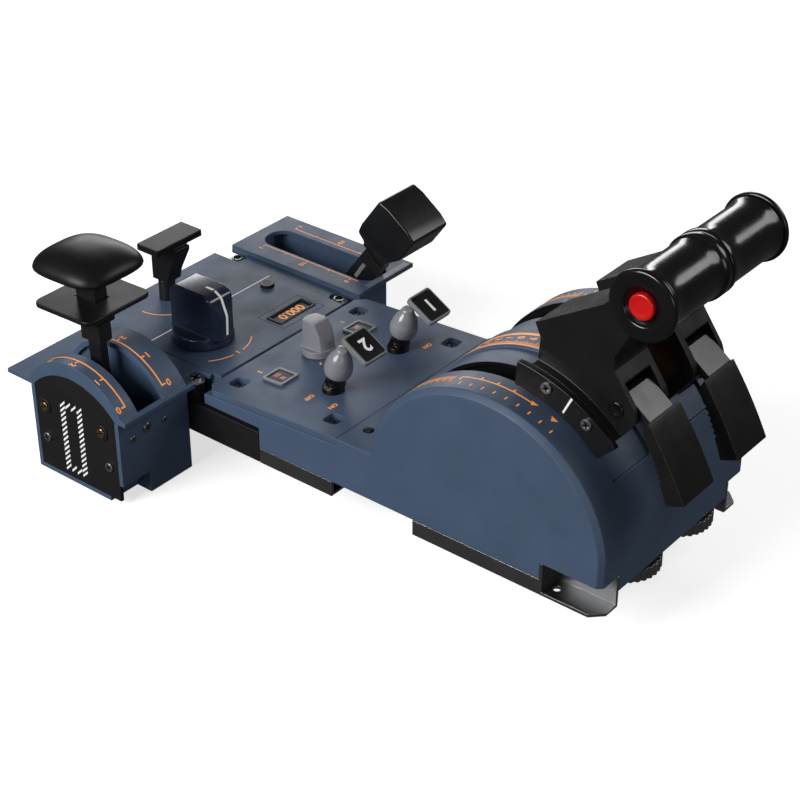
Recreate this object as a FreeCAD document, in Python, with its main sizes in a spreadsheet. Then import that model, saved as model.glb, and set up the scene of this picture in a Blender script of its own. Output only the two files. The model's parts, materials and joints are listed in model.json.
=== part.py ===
import FreeCAD, Part
import os
import re

import Sketcher
from FreeCAD import Placement, Rotation, Vector

# Throttle quadrant: a thrust-lever module with a domed housing in front, and behind it a level
# unit with a trim and parking-brake panel between a speed-brake module and a flaps module.
# Millimetres. +X is the pilot's right, +Y points forward, +Z is up. The origin is on the
# underside of the base tray, on the middle plane, below the front edge of the engine panel.

doc = FreeCAD.newDocument("ThrottleQuadrant")
sheet = doc.addObject("Spreadsheet::Sheet", "Sizes")

SIZES = [
    # thrust-lever module
    ("module_width", 146.0, "width of the thrust-lever module"),
    ("module_front", 181.0, "front wall of the thrust-lever module"),
    ("join_rear", 103.8, "from the origin back to the joint with the rear unit"),
    ("shell_low", 10.0, "underside of the painted housing"),
    ("shallow_low", 24.0, "underside of the housing behind the tray"),
    ("corner_bevel", 3.1, "bevel between the side walls and the dome"),
    ("dome_y", 101.3, "lever pivot, forward of the origin"),
    ("dome_z", 27.3, "lever pivot, above the base"),
    ("dome_radius", 80.7, "outer radius of the dome"),
    ("dome_skin", 5.0, "thickness of the dome over the lever bays"),
    ("strip_z", 41.5, "top of the strip between panel and dome"),
    ("recess_inner", 12.8, "inner edge of a shallow recess from the middle plane"),
    ("recess_outer", 48.0, "outer edge of a shallow recess from the middle plane"),
    ("slot_inner", 32.0, "inner edge of a lever slot from the middle plane"),
    ("slot_outer", 46.4, "outer edge of a lever slot from the middle plane"),
    ("slot_front_angle", 44.0, "front end of the open slot, degrees above forward"),
    ("slot_rear_angle", 146.0, "rear end of the open slot"),
    ("recess_angle", 33.0, "front end of the shallow recess round the slot"),
    ("recess_depth", 2.0, "depth of that recess"),
    # engine panel
    ("panel_front_z", 40.6, "top of the engine panel at its front edge"),
    ("panel_tilt", 3.2, "rise of the engine panel, degrees"),
    ("panel_thick", 4.0, "thickness of every control panel"),
    ("panel_gap", 0.4, "gap around a panel"),
    ("panel_half", 72.0, "half the width of the engine panel"),
    ("panel_corner", 7.0, "corner radius at the rear of the engine panel"),
    ("pocket_x", 55.6, "screw pockets of the engine panel, sideways"),
    ("pocket_rear", 90.8, "rear screw pockets, behind the origin"),
    ("pocket_front", 16.2, "front screw pockets, behind the origin"),
    ("pocket_size", 10.5, "width of a screw pocket"),
    ("screw_radius", 2.6, "head radius of the panel screws"),
    ("screw_head", 1.8, "head height of the panel screws"),
    ("light_x", 37.0, "warning lights, sideways"),
    ("light_y", 74.3, "warning lights, behind the origin"),
    ("light_size", 16.2, "outer width of a warning light"),
    ("light_lens", 12.6, "width of its lens"),
    ("mode_y", 76.0, "mode knob, behind the origin"),
    ("mode_radius", 10.6, "radius of the mode knob"),
    ("mode_height", 23.0, "height of the mode knob"),
    ("master_x", 30.5, "master switches, sideways"),
    ("master_y", 38.0, "master switches, behind the origin"),
    ("master_bush", 6.8, "radius of a switch bush"),
    ("placard_tip", 16.0, "forward tip of a switch's placard against its lever, degrees"),
    ("master_lean", 14.0, "forward lean of a switch that is on, degrees"),
    # base tray
    ("tray_rear", 60.0, "from the origin back to the tray's rear edge"),
    ("tray_sheet", 2.0, "sheet thickness of the tray"),
    ("gap_rear", 3.8, "rear end of the open stretch of the skirt, behind the origin"),
    ("gap_front", 55.5, "front end of the open stretch of the skirt"),
    ("gap_depth", 16.0, "how far the floor is cut back along the open stretch"),
    ("pocket_start", 144.0, "rear wall of the front corner pockets"),
    ("pocket_high", 20.5, "height of the front corner pockets"),
    ("tray_chamfer", 8.0, "cut-off outer corner of the tray"),
    ("bolt_x", 64.7, "mounting holes from the middle plane"),
    ("bolt_front", 148.5, "front mounting holes"),
    ("bolt_rear", 51.5, "rear mounting holes, behind the origin"),
    ("bolt_radius", 2.25, "radius of a mounting hole for an M4 screw"),
    # friction wheels
    ("wheel_pitch", 54.0, "distance between the friction wheels"),
    ("wheel_shift", 7.0, "middle of the wheel pair, left of the middle plane"),
    ("wheel_y", 162.6, "friction wheels forward of the origin"),
    ("wheel_radius", 20.5, "radius of a friction wheel"),
    ("wheel_room", 0.5, "clearance beside the left friction wheel"),
    ("pocket_wall", "=wheel_shift + wheel_pitch / 2 + wheel_radius + wheel_room + tray_sheet",
     "inner wall of the front corner pockets from the middle plane"),
    ("wheel_low", 1.2, "underside of a friction wheel"),
    ("wheel_high", 8.8, "top of a friction wheel"),
    ("stud_radius", 4.0, "radius of the wheel studs"),
    ("running", 0.05, "radial clearance of a running fit"),
    ("move_gap", 0.4, "gap between pieces that move past each other"),
    # thrust levers
    ("thrust_lean", 27.3, "forward lean of the thrust levers at full thrust, degrees"),
    ("shaft_radius", 5.0, "radius of the thrust-lever shaft"),
    ("hub_radius", 13.0, "radius of a thrust-lever hub"),
    ("arm_inner", 33.4, "inner face of the arm from the middle plane"),
    ("arm_outer", 41.4, "outer face of the arm from the middle plane"),
    ("hood_inner", 12.3, "inner face of a lever hood from the middle plane"),
    ("hood_outer", 43.5, "outer face of a lever hood from the middle plane"),
    ("hood_foot", 50.0, "outer face of a hood's foot from the middle plane"),
    ("hood_radius", 82.4, "underside of a hood from the pivot"),
    ("foot_inner", 48.8, "inner face of the foot plate"),
    ("foot_outer", 52.8, "outer face of the foot plate"),
    ("foot_low", 82.4, "underside of the foot plate from the pivot"),
    ("foot_high", 97.0, "top of the foot plate from the pivot"),
    ("grip_height", 175.0, "grip axis above the pivot"),
    ("grip_half_gap", 0.4, "from the middle plane to a grip's inner end"),
    ("grip_length", 51.6, "length of a grip"),
    ("grip_radius", 17.4, "radius of a grip at its ends"),
    ("grip_waist", 16.5, "radius of a grip at its middle"),
    ("cap_radius", 19.4, "radius of a grip's end cap"),
    ("cap_thick", 3.4, "thickness of a grip's end cap"),
    ("button_radius", 7.2, "radius of the red button"),
    ("button_proud", 2.4, "how far the red button stands out"),
    ("button_recess", 10.4, "radius of the recess round the button"),
    ("recess_cap", 1.8, "depth of the recess round the button"),
    # reverse levers
    ("latch_inner", 12.2, "inner edge of a reverse lever from the middle plane"),
    ("latch_outer", 42.2, "outer edge of a reverse lever from the middle plane"),
    ("latch_pin_y", 15.5, "reverse-lever pin forward of the arm's axis"),
    ("latch_pin_z", 108.0, "reverse-lever pin above the pivot"),
    ("latch_pin_radius", 2.5, "radius of the reverse-lever pin"),
    ("latch_hub", 4.2, "radius of the reverse lever round its pin"),
    ("neck_inner", 17.4, "inner edge of the reverse lever's neck"),
    ("neck_outer", 40.0, "outer edge of the reverse lever's neck"),
    ("latch_step", 35.0, "end of the neck, forward of the arm's axis"),
    ("latch_thick", 6.75, "thickness of the reverse lever at its middle"),
    ("latch_flare_y", 27.0, "centre of its inner face behind that of its outer face"),
    ("latch_flare_z", 16.2, "centre of its inner face above that of its outer face"),
    ("latch_bow", 253.9, "radius of the reverse lever's outer face"),
    ("latch_slope", 21.0, "slope of the outer face over the pin, degrees"),
    ("latch_over", 11.2, "outer face's curve above the pin"),
    ("rib_start", 40.2, "first rib under the tip, degrees round the inner face"),
    ("rib_pitch", 0.8, "pitch of the ribs, degrees"),
    ("rib_radius", 1.1, "radius of the grooves between the ribs"),
    ("latch_tip", 41.2, "tip of the reverse lever, degrees forward of the arm"),
    # rear unit
    ("deck_z", 35.0, "top of the rear panels"),
    ("centre_half", 57.0, "half the width of the centre panel"),
    ("centre_rear", 218.5, "rear edge of the centre panel, behind the origin"),
    ("chassis_low", 4.0, "underside of the centre chassis"),
    ("rail_rear", 126.0, "rear end of a connecting rail, behind the origin"),
    ("rail_high", 21.0, "top of a connecting rail"),
    ("module_inner", 74.0, "inner face of the side modules"),
    ("module_outer", 131.0, "outer face of the side modules"),
    ("box_low", 26.5, "depth of the side modules below the base"),
    ("box_rear", 191.5, "rear wall of the side modules, behind the origin"),
    ("flaps_front", 117.0, "front wall of the side modules, behind the origin"),
    ("brake_rear", 212.0, "rear wall of the speed-brake module, behind the origin"),
    ("brake_outer", 129.5, "outer face of the speed-brake module"),
    ("panel_edge", 105.0, "front edge of the speed-brake panel, behind the origin"),
    ("notch_wide", 13.5, "stepped front corner of the speed-brake module, sideways"),
    ("notch_deep", 12.0, "stepped front corners of the side modules, front to back"),
    ("flange_rear", 212.5, "rear edge of the side flanges, behind the origin"),
    ("flange_front", 111.0, "front edge of the flaps flange, behind the origin"),
    ("ring_x", 66.5, "captive screws of the side modules from the middle plane"),
    ("ring_rear", 206.5, "rear captive screws, behind the origin"),
    ("ring_front", 116.5, "front captive screws, behind the origin"),
    ("ring_room", 6.2, "radius of the notch round a captive screw"),
    # flaps module
    ("flaps_y", 153.4, "flaps pivot, behind the origin"),
    ("flaps_z", 11.9, "flaps pivot above the base"),
    ("arch_radius", 46.2, "radius of the flaps arch"),
    ("arch_inner", 77.5, "inner end of the flaps arch"),
    ("cover_skin", 3.5, "wall thickness of the flaps cover"),
    ("flaps_inset", 24.0, "middle plane of the flaps lever from the outer face"),
    ("flaps_x", "=module_outer - flaps_inset", "middle plane of the flaps lever"),
    ("flaps_slot", 21.0, "width of the flaps slot"),
    ("flaps_slot_front", 31.0, "front end of the flaps slot, degrees above forward"),
    ("flaps_slot_rear", 153.0, "rear end of the flaps slot"),
    ("flaps_lean", 2.0, "backward lean of the flaps lever at rest, degrees"),
    ("pin_radius", 4.0, "radius of the flaps and speed-brake pins"),
    ("blade_width", 6.0, "width of the flaps blade"),
    ("blade_depth", 10.0, "depth of the flaps blade"),
    ("stem_width", 10.0, "width of the flaps stem"),
    ("stem_depth", 16.0, "depth of the flaps stem"),
    ("stem_start", 54.0, "foot of the flaps stem above its pivot"),
    ("cap_low", 101.0, "underside of the flaps cap above its pivot"),
    ("cap_width", 53.0, "width of the flaps cap"),
    ("cap_depth", 58.0, "depth of the flaps cap"),
    ("cap_rim", 4.0, "thickness of the flaps cap at its rim"),
    ("cap_crown", 10.5, "rise of the flaps cap above its rim"),
    ("collar_z", 79.0, "lift collar above the flaps pivot"),
    ("collar_width", 51.0, "width of the lift collar"),
    ("collar_depth", 48.0, "depth of the lift collar"),
    ("collar_thick", 3.0, "thickness of the lift collar"),
    ("plate_depth", 2.5, "depth of the black side plate's seat"),
    ("plate_radius", 46.0, "radius of the side plate's arched top"),
    # speed-brake module
    ("brake_x", 101.0, "middle plane of the speed-brake lever"),
    ("brake_y", 158.0, "speed-brake pivot, behind the origin"),
    ("brake_depth", 14.0, "speed-brake pivot below the base plane"),
    ("brake_lean", 36.0, "forward lean of the retracted speed-brake lever, degrees"),
    ("brake_slot_rear", 208.0, "rear end of the speed-brake slot, behind the origin"),
    ("brake_slot_front", 109.0, "front end of the speed-brake slot"),
    ("brake_slot", 24.0, "width of the speed-brake slot"),
    ("raised", 3.0, "height of the speed-brake panel above its inner strip"),
    ("arm_width", 9.0, "width of the speed-brake arm"),
    ("arm_depth", 17.0, "depth of the speed-brake arm"),
    ("arm_end", 78.0, "upper end of the wide part of the arm above its pivot"),
    ("handle_low", 84.0, "underside of the speed-brake handle above its pivot"),
    ("handle_mid", 103.0, "shoulder of the speed-brake handle"),
    ("handle_top", 129.0, "top edge of the speed-brake handle"),
    ("handle_half", 17.8, "half the width of the handle's top"),
    # centre panel
    ("knob_x", 29.0, "rudder-trim knob from the middle plane"),
    ("knob_y", 146.0, "rudder-trim knob, behind the origin"),
    ("knob_radius", 20.0, "radius of the rudder-trim knob's skirt"),
    ("knob_skirt", 8.0, "height of the skirt"),
    ("knob_height", 37.0, "height of the rudder-trim knob"),
    ("reset_x", 45.0, "reset button left of the middle plane"),
    ("reset_y", 159.6, "reset button, behind the origin"),
    ("reset_radius", 4.4, "radius of the reset button"),
    ("display_x", 29.5, "display left of the middle plane"),
    ("display_y", 125.0, "display, behind the origin"),
    ("display_width", 31.0, "width of the display opening"),
    ("display_depth", 10.0, "depth of the display opening"),
    ("park_x", 6.4, "parking-brake shaft from the middle plane"),
    ("park_y", 199.5, "parking-brake shaft, behind the origin"),
    ("park_radius", 5.5, "radius of the parking-brake shaft"),
    ("park_bar_z", 76.0, "underside of the parking-brake bar"),
    ("park_bar", 40.0, "length of the parking-brake bar"),
    ("park_bar_depth", 18.5, "depth of the parking-brake bar"),
    ("park_bar_thick", 4.5, "thickness of the parking-brake bar"),
    ("park_offset", 9.3, "bar centre forward of the shaft"),
    ("socket_width", 9.0, "width of the data socket's shell"),
    ("socket_height", 3.3, "height of the data socket's shell"),
]

ALIASES = []
for row, (alias, value, meaning) in enumerate(SIZES, start=1):
    sheet.set("A%d" % row, meaning)
    sheet.set("B%d" % row, str(value))
    sheet.setAlias("B%d" % row, alias)
    ALIASES.append(alias)
doc.recompute()

WORD = re.compile(r"[a-z][a-z_]*")


def linked(text):
    """An expression in which each alias refers to its sheet cell."""
    def link(match):
        word = match.group(0)
        return "Sizes." + word if word in ALIASES else word
    return WORD.sub(link, str(text))


def size(text):
    """The present value of an expression in aliases."""
    answer = sheet.evalExpression(linked(text))
    return float(getattr(answer, "Value", answer))


def bind(thing, prop, text):
    thing.setExpression(prop, linked(text))


def named(kind, label):
    thing = doc.addObject(kind, label)
    thing.Label = label
    return thing


# ---------------------------------------------------------------- building blocks

def block(label, x, y, z):
    """A box between two expressions along each axis."""
    box = named("Part::Box", label)
    for span, prop, place in ((x, "Length", "x"), (y, "Width", "y"), (z, "Height", "z")):
        bind(box, prop, "(%s) - (%s)" % (span[1], span[0]))
        bind(box, "Placement.Base." + place, span[0])
    return box


TURNS = {
    "X": Rotation(Vector(0, 1, 0), 90),
    "Y": Rotation(Vector(1, 0, 0), -90),
    "Z": Rotation(),
}


def rod(label, axis, centre, radius, span):
    """A cylinder along X, Y or Z. centre gives the other two coordinates, in X, Y, Z order."""
    bar = named("Part::Cylinder", label)
    bar.Placement = Placement(Vector(), TURNS[axis])
    bind(bar, "Radius", radius)
    bind(bar, "Height", "(%s) - (%s)" % (span[1], span[0]))
    others = [letter for letter in "xyz" if letter != axis.lower()]
    bind(bar, "Placement.Base." + axis.lower(), span[0])
    for letter, text in zip(others, centre):
        bind(bar, "Placement.Base." + letter, text)
    return bar


def taper(label, axis, centre, low_radius, high_radius, span):
    """A cone along an axis, as rod()."""
    bar = named("Part::Cone", label)
    bar.Placement = Placement(Vector(), TURNS[axis])
    bind(bar, "Radius1", low_radius)
    bind(bar, "Radius2", high_radius)
    bind(bar, "Height", "(%s) - (%s)" % (span[1], span[0]))
    others = [letter for letter in "xyz" if letter != axis.lower()]
    bind(bar, "Placement.Base." + axis.lower(), span[0])
    for letter, text in zip(others, centre):
        bind(bar, "Placement.Base." + letter, text)
    return bar


PLANES = {"X": "YZ_Plane", "Y": "XZ_Plane", "Z": "XY_Plane"}


def outline(body, axis, points):
    """A closed sketch whose corners are bound to expressions."""
    sketch = body.newObject("Sketcher::SketchObject", body.Name + "_outline")
    planes = {part.Role: part for part in body.Origin.OriginFeatures}
    sketch.AttachmentSupport = [(planes[PLANES[axis]], "")]
    sketch.MapMode = "FlatFace"
    spots = [Vector(size(a), size(b), 0) for a, b in points]
    count = len(spots)
    for here in range(count):
        sketch.addGeometry(Part.LineSegment(spots[here], spots[(here + 1) % count]), False)
    for here in range(count):
        sketch.addConstraint(Sketcher.Constraint("Coincident", here, 2, (here + 1) % count, 1))
    for here, (a, b) in enumerate(points):
        for kind, text, value in (("DistanceX", a, spots[here].x), ("DistanceY", b, spots[here].y)):
            number = sketch.addConstraint(Sketcher.Constraint(kind, -1, 1, here, 1, value))
            bind(sketch, "Constraints[%d]" % number, text)
    return sketch


def prism(label, axis, points, span, rounded=None):
    """A padded outline along X (points are y, z), Y (points are x, z) or Z (points are x, y)."""
    body = named("PartDesign::Body", label)
    sketch = outline(body, axis, points)
    pad = body.newObject("PartDesign::Pad", label + "_pad")
    pad.Profile = sketch
    bind(pad, "Length", "(%s) - (%s)" % (span[1], span[0]))
    bind(body, "Placement.Base." + axis.lower(), span[1] if axis == "Y" else span[0])
    doc.recompute()
    if rounded:
        along = {"X": Vector(1, 0, 0), "Y": Vector(0, 1, 0), "Z": Vector(0, 0, 1)}[axis]
        edges = []
        for number, edge in enumerate(pad.Shape.Edges, start=1):
            run = edge.Vertexes[-1].Point - edge.Vertexes[0].Point
            if run.Length > 1e-6 and abs(abs(run.normalize().dot(along)) - 1) < 1e-6:
                edges.append("Edge%d" % number)
        fillet = body.newObject("PartDesign::Fillet", label + "_fillet")
        fillet.Base = (pad, edges)
        fillet.Radius = size(rounded)
        bind(fillet, "Radius", rounded)
        doc.recompute()
    return body


def plate(label, centre, width, depth, z, corner):
    """A flat plate with rounded corners."""
    cx, cy = centre
    left, right = "(%s) - (%s) / 2" % (cx, width), "(%s) + (%s) / 2" % (cx, width)
    rear, front = "(%s) - (%s) / 2" % (cy, depth), "(%s) + (%s) / 2" % (cy, depth)
    corners = [(left, rear), (right, rear), (right, front), (left, front)]
    return prism(label, "Z", corners, z, corner)


def fuse(label, *parts):
    union = named("Part::MultiFuse", label)
    union.Shapes = list(parts)
    return union


def cut(label, base, *tools):
    whole = named("Part::Cut", label)
    whole.Base = base
    whole.Tool = tools[0] if len(tools) == 1 else fuse(label + "_tools", *tools)
    return whole


def common(label, first, second):
    both = named("Part::Common", label)
    both.Base = first
    both.Tool = second
    return both


def group(label, *parts):
    """Separate solids that share one node."""
    bundle = named("Part::Compound", label)
    bundle.Links = list(parts)
    return bundle


def mirrored(label, source):
    """The left-hand twin of a right-hand piece."""
    twin = named("Part::Mirroring", label)
    twin.Source = source
    twin.Normal = Vector(1, 0, 0)
    return twin


def lean(thing, base, degrees):
    """Tilts a piece built upright on its pivot: positive degrees lean it forward."""
    spot = Vector(*[size(text) for text in base])
    thing.Placement = Placement(spot, Rotation(Vector(1, 0, 0), -size(degrees)))
    for letter, text in zip("xyz", base):
        bind(thing, "Placement.Base." + letter, text)
    bind(thing, "Placement.Rotation.Angle", "-(%s)" % degrees)
    return thing


def across(middle, width):
    """The two ends of a width about a middle."""
    return ("%s - (%s) / 2" % (middle, width), "%s + (%s) / 2" % (middle, width))


def sector(label, centre, radius, low, high, span):
    """A wedge about an X axis, between two angles above forward, with a straight far side."""
    cy, cz = centre
    points = [(cy, cz)]
    for angle in (low, "(%s) * 2 / 3 + (%s) / 3" % (low, high), "(%s) / 3 + (%s) * 2 / 3" % (low, high), high):
        points.append(("(%s) + (%s) * cos((%s) * 1 deg)" % (cy, radius, angle),
                       "(%s) + (%s) * sin((%s) * 1 deg)" % (cz, radius, angle)))
    return prism(label, "X", points, span)


NODES = []


def keep(thing):
    """Marks an object as a sub-part that is written to its own file."""
    NODES.append(thing)
    return thing


HALF = "module_width / 2"
PIVOT = ("dome_y", "dome_z")


# ---------------------------------------------------------------- base tray

def base_tray():
    floor = block("tray_floor", ("-" + HALF, HALF), ("-tray_rear", "module_front"), ("0", "tray_sheet"))
    wheel_bay = block("tray_wheel_bay", ("-pocket_wall + tray_sheet", "pocket_wall - tray_sheet"),
                      ("wheel_y - wheel_radius - 2", "module_front + 1"), ("-1", "tray_sheet + 1"))
    walls = []
    cuts = [wheel_bay]
    for side, sign in (("right", 1), ("left", -1)):
        def sided(low, high):
            return (low, high) if sign > 0 else ("-(%s)" % high, "-(%s)" % low)
        outer = sided(HALF + " - tray_sheet", HALF)
        up = ("tray_sheet", "shell_low")
        walls.append(block("tray_skirt_rear_" + side, outer, ("-tray_rear", "-gap_rear"), up))
        walls.append(block("tray_skirt_front_" + side, outer, ("gap_front", "pocket_start"), up))
        walls.append(block("tray_wall_" + side, sided("pocket_wall - tray_sheet", "pocket_wall"),
                           ("pocket_start - tray_sheet", "module_front"), ("tray_sheet", "pocket_high")))
        walls.append(block("tray_back_" + side, sided("pocket_wall", HALF),
                           ("pocket_start - tray_sheet", "pocket_start"), ("tray_sheet", "pocket_high")))
        cuts.append(block("tray_gap_" + side, sided(HALF + " - gap_depth", HALF + " + 1"),
                          ("-gap_rear", "gap_front"), ("-1", "tray_sheet + 1")))
        for end, place in (("front", "bolt_front"), ("rear", "-bolt_rear")):
            cuts.append(rod("tray_hole_%s_%s" % (end, side), "Z", ("bolt_x * %d" % sign, place),
                            "bolt_radius", ("-1", "tray_sheet + 1")))
        corner = prism("tray_corner_" + side, "Z",
                       [("(%s + 1) * %d" % (HALF, sign), "module_front + 1"),
                        ("(%s - tray_chamfer) * %d" % (HALF, sign), "module_front + 1"),
                        ("(%s + 1) * %d" % (HALF, sign), "module_front - tray_chamfer")],
                       ("-1", "tray_sheet + 1"))
        cuts.append(corner)
    keep(cut("base_tray", fuse("tray_sheetwork", floor, *walls), *cuts))


# ---------------------------------------------------------------- domed housing

def throttle_housing():
    bevel_start = HALF + " - corner_bevel"
    side_radius = "dome_radius - corner_bevel"
    dome = fuse("dome_drum",
                rod("dome_middle", "X", PIVOT, "dome_radius", ("-(%s)" % bevel_start, bevel_start)),
                taper("dome_bevel_right", "X", PIVOT, "dome_radius", side_radius, (bevel_start, HALF)),
                taper("dome_bevel_left", "X", PIVOT, side_radius, "dome_radius",
                      ("-" + HALF, "-(%s)" % bevel_start)))
    deck_front = "panel_front_z - panel_thick / cos(panel_tilt * 1 deg)"
    deck_rear = "(%s) - join_rear * tan(panel_tilt * 1 deg)" % deck_front
    profile = [("-join_rear", "shallow_low"), ("-tray_rear", "shallow_low"), ("-tray_rear", "shell_low"),
               ("module_front + 5", "shell_low"), ("module_front + 5", "dome_z"), ("dome_y", "dome_z + 20"),
               ("dome_y - dome_radius + 6", "strip_z"), ("0", "strip_z"), ("0", deck_front),
               ("-join_rear", deck_rear)]
    lower = prism("housing_lower", "X", profile, ("-" + HALF, HALF))
    plan = [("-" + HALF, "-join_rear"), (HALF, "-join_rear"), (HALF, "module_front - corner_bevel"),
            (bevel_start, "module_front"), ("-(%s)" % bevel_start, "module_front"),
            ("-" + HALF, "module_front - corner_bevel")]
    footprint = prism("housing_plan", "Z", plan, ("shell_low", "dome_z + dome_radius + 10"))
    shell = common("housing_shell", fuse("housing_solid", dome, lower), footprint)
    cuts = [rod("shaft_bore", "X", PIVOT, "shaft_radius", ("-" + HALF + " + 4", HALF + " - 4"))]
    for side, sign in (("right", 1), ("left", -1)):
        bay = ("slot_inner - 2", "recess_outer")
        slot = ("slot_inner", "slot_outer")
        recess = ("recess_inner", "recess_outer")
        if sign < 0:
            bay, slot, recess = [("-(%s)" % high, "-(%s)" % low) for low, high in (bay, slot, recess)]
        inside = rod("bay_drum_" + side, "X", PIVOT, "dome_radius - dome_skin", bay)
        above = block("bay_above_" + side, bay, ("0", "module_front"), ("shell_low + 3", "200"))
        cuts.append(common("bay_" + side, inside, above))
        cuts.append(sector("slot_" + side, PIVOT, "dome_radius * 1.4", "slot_front_angle",
                           "slot_rear_angle", slot))
        wedge = sector("recess_wedge_" + side, PIVOT, "dome_radius * 1.4", "recess_angle",
                       "slot_rear_angle + 2", recess)
        core = rod("recess_core_" + side, "X", PIVOT, "dome_radius - recess_depth", ("-90", "90"))
        cuts.append(cut("recess_" + side, wedge, core))
        pocket = ("pocket_wall - tray_sheet", HALF + " + 1")
        if sign < 0:
            pocket = ("-" + HALF + " - 1", "-pocket_wall + tray_sheet")
        cuts.append(block("corner_pocket_" + side, pocket, ("pocket_start - tray_sheet", "module_front + 1"),
                          ("0", "pocket_high")))
        cuts.append(rod("bolt_well_" + side, "Z", ("bolt_x * %d" % sign, "-bolt_rear"), "bolt_radius",
                        ("0", "shell_low + 8")))
    keep(cut("throttle_housing", shell, *cuts))
    keep(rod("thrust_shaft", "X", PIVOT, "shaft_radius", ("-" + HALF + " + 4", HALF + " - 4")))


# ---------------------------------------------------------------- engine panel

def on_panel(thing):
    """Seats a piece that was built with its panel face at z = 0."""
    return lean(thing, ("0", "0", "panel_front_z"), "-panel_tilt")


def engine_panel():
    sheet_span = ("-panel_thick", "0")
    slab = block("panel_slab", ("-panel_half", "panel_half"), ("-join_rear + panel_gap", "-panel_gap"),
                 sheet_span)
    cuts = []
    screws = []
    for side, sign in (("right", 1), ("left", -1)):
        rim = prism("panel_corner_" + side, "Z",
                    [("(panel_half + 1) * %d" % sign, "-join_rear - 1"),
                     ("(panel_half - panel_corner) * %d" % sign, "-join_rear - 1"),
                     ("(panel_half + 1) * %d" % sign, "-join_rear + panel_corner")], ("-5", "1"))
        cuts.append(rim)
        for end in ("rear", "front"):
            centre = ("pocket_x * %d" % sign, "-pocket_" + end)
            square = plate("pocket_%s_%s" % (end, side), centre, "pocket_size", "pocket_size",
                           ("-panel_thick - 1", "1"), "pocket_size / 4")
            cuts.append(square)
            screws.append(rod("panel_screw_%s_%s" % (end, side), "Z", centre, "screw_radius",
                              ("-panel_thick", "-panel_thick + screw_head")))
        light = ("light_x * %d" % sign, "-light_y")
        cuts.append(plate("light_hole_" + side, light, "light_lens", "light_lens",
                          ("-panel_thick - 1", "1"), "1"))
        cuts.append(rod("master_hole_" + side, "Z", ("master_x * %d" % sign, "-master_y"),
                        "master_bush - 1.5", ("-panel_thick - 1", "1")))
    cuts.append(rod("mode_hole", "Z", ("0", "-mode_y"), "3 + running", ("-panel_thick - 1", "1")))
    keep(on_panel(cut("engine_panel", slab, *cuts)))
    keep(on_panel(group("panel_screws", *screws)))


def annunciators():
    frames = []
    lenses = []
    for side, sign in (("right", 1), ("left", -1)):
        centre = ("light_x * %d" % sign, "-light_y")
        rim = plate("frame_rim_" + side, centre, "light_size", "light_size", ("0", "1.4"), "1.5")
        window = plate("frame_window_" + side, centre, "light_lens", "light_lens", ("-1", "2"), "1")
        frames.append(cut("frame_" + side, rim, window))
        lenses.append(plate("lens_" + side, centre, "light_lens - 0.2", "light_lens - 0.2",
                            ("-panel_thick", "0.8"), "0.9"))
    keep(on_panel(group("annunciator_frames", *frames)))
    keep(on_panel(group("annunciator_lenses", *lenses)))


def mode_knob():
    """A tapered bar knob on a round skirt, with its stem through the panel."""
    centre = ("0", "-mode_y")
    skirt = rod("mode_skirt", "Z", centre, "mode_radius", ("0.4", "5"))
    cone = taper("mode_cone", "Z", centre, "mode_radius - 0.4", "mode_radius - 2", ("5", "mode_height"))
    bar = block("mode_bar", ("-6.6", "6.6"), ("-mode_y - 12", "-mode_y + 12"), ("4", "mode_height + 1"))
    slope = prism("mode_slope", "X",
                  [("-mode_y + 3", "mode_height + 1"), ("-mode_y + mode_radius + 1", "7"),
                   ("-mode_y + mode_radius + 1", "mode_height + 1")], ("-9", "9"))
    grip = cut("mode_grip", common("mode_blade", cone, bar), slope)
    stem = rod("mode_stem", "Z", centre, "3", ("-panel_thick + 0.4", "1"))
    keep(on_panel(fuse("mode_knob", skirt, grip, stem)))


def master_switch(side, sign):
    """A lever in a bush; its knob lifts to unlock and carries a square placard."""
    base = ("master_x * %d" % sign, "-master_y")
    origin = ("0", "0")
    shaft = rod("master_shaft_" + side, "Z", origin, "2.4", ("-1", "14"))
    ball = named("Part::Sphere", "master_ball_" + side)
    bind(ball, "Radius", "master_bush - 3 - 2 * running")
    lever = fuse("master_lever_" + side, shaft, ball)
    neck = taper("knob_neck_" + side, "Z", origin, "4.8", "7.2", ("5.8", "13"))
    belly = taper("knob_belly_" + side, "Z", origin, "7.6", "8.7", ("13", "18"))
    chest = taper("knob_chest_" + side, "Z", origin, "8.7", "6.6", ("18", "26"))
    crown = taper("knob_crown_" + side, "Z", origin, "6.6", "3", ("26", "33"))
    bulb = fuse("knob_bulb_" + side, neck, belly, chest, crown)
    socket = rod("knob_socket_" + side, "Z", origin, "2.4 + running", ("4", "19"))
    knob = cut("master_knob_" + side, bulb, socket, placard(side, "gap"))
    place = (base[0], "(%s) * cos(panel_tilt * 1 deg)" % base[1],
             "panel_front_z - master_y * sin(panel_tilt * 1 deg)")
    sign_plate = group("master_placard_" + side, placard(side, "plate"))
    for thing in (lever, knob, sign_plate):
        keep(lean(thing, place, "master_lean"))


def placard(side, use):
    """The square plate that the knob carries on its inner side, tipped towards the front."""
    slab = plate("placard_slab_%s_%s" % (use, side), ("-11.5", "5.5"), "20", "21.5", ("0", "3.4"), "2")
    tipped = lean(group("placard_%s_%s" % (use, side), slab), ("0", "1", "32.5"), "placard_tip")
    return tipped


def master_bushes():
    bushes = []
    for side, sign in (("right", 1), ("left", -1)):
        centre = ("master_x * %d" % sign, "-master_y")
        collar = rod("bush_collar_" + side, "Z", centre, "master_bush", ("0", "3.4"))
        barrel = rod("bush_barrel_" + side, "Z", centre, "master_bush - 1.5", ("-panel_thick", "0"))
        seat = rod("bush_seat_" + side, "Z", centre, "master_bush - 3", ("-panel_thick - 1", "5"))
        bushes.append(cut("bush_" + side, fuse("bush_body_" + side, collar, barrel), seat))
    keep(on_panel(group("master_bushes", *bushes)))


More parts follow.
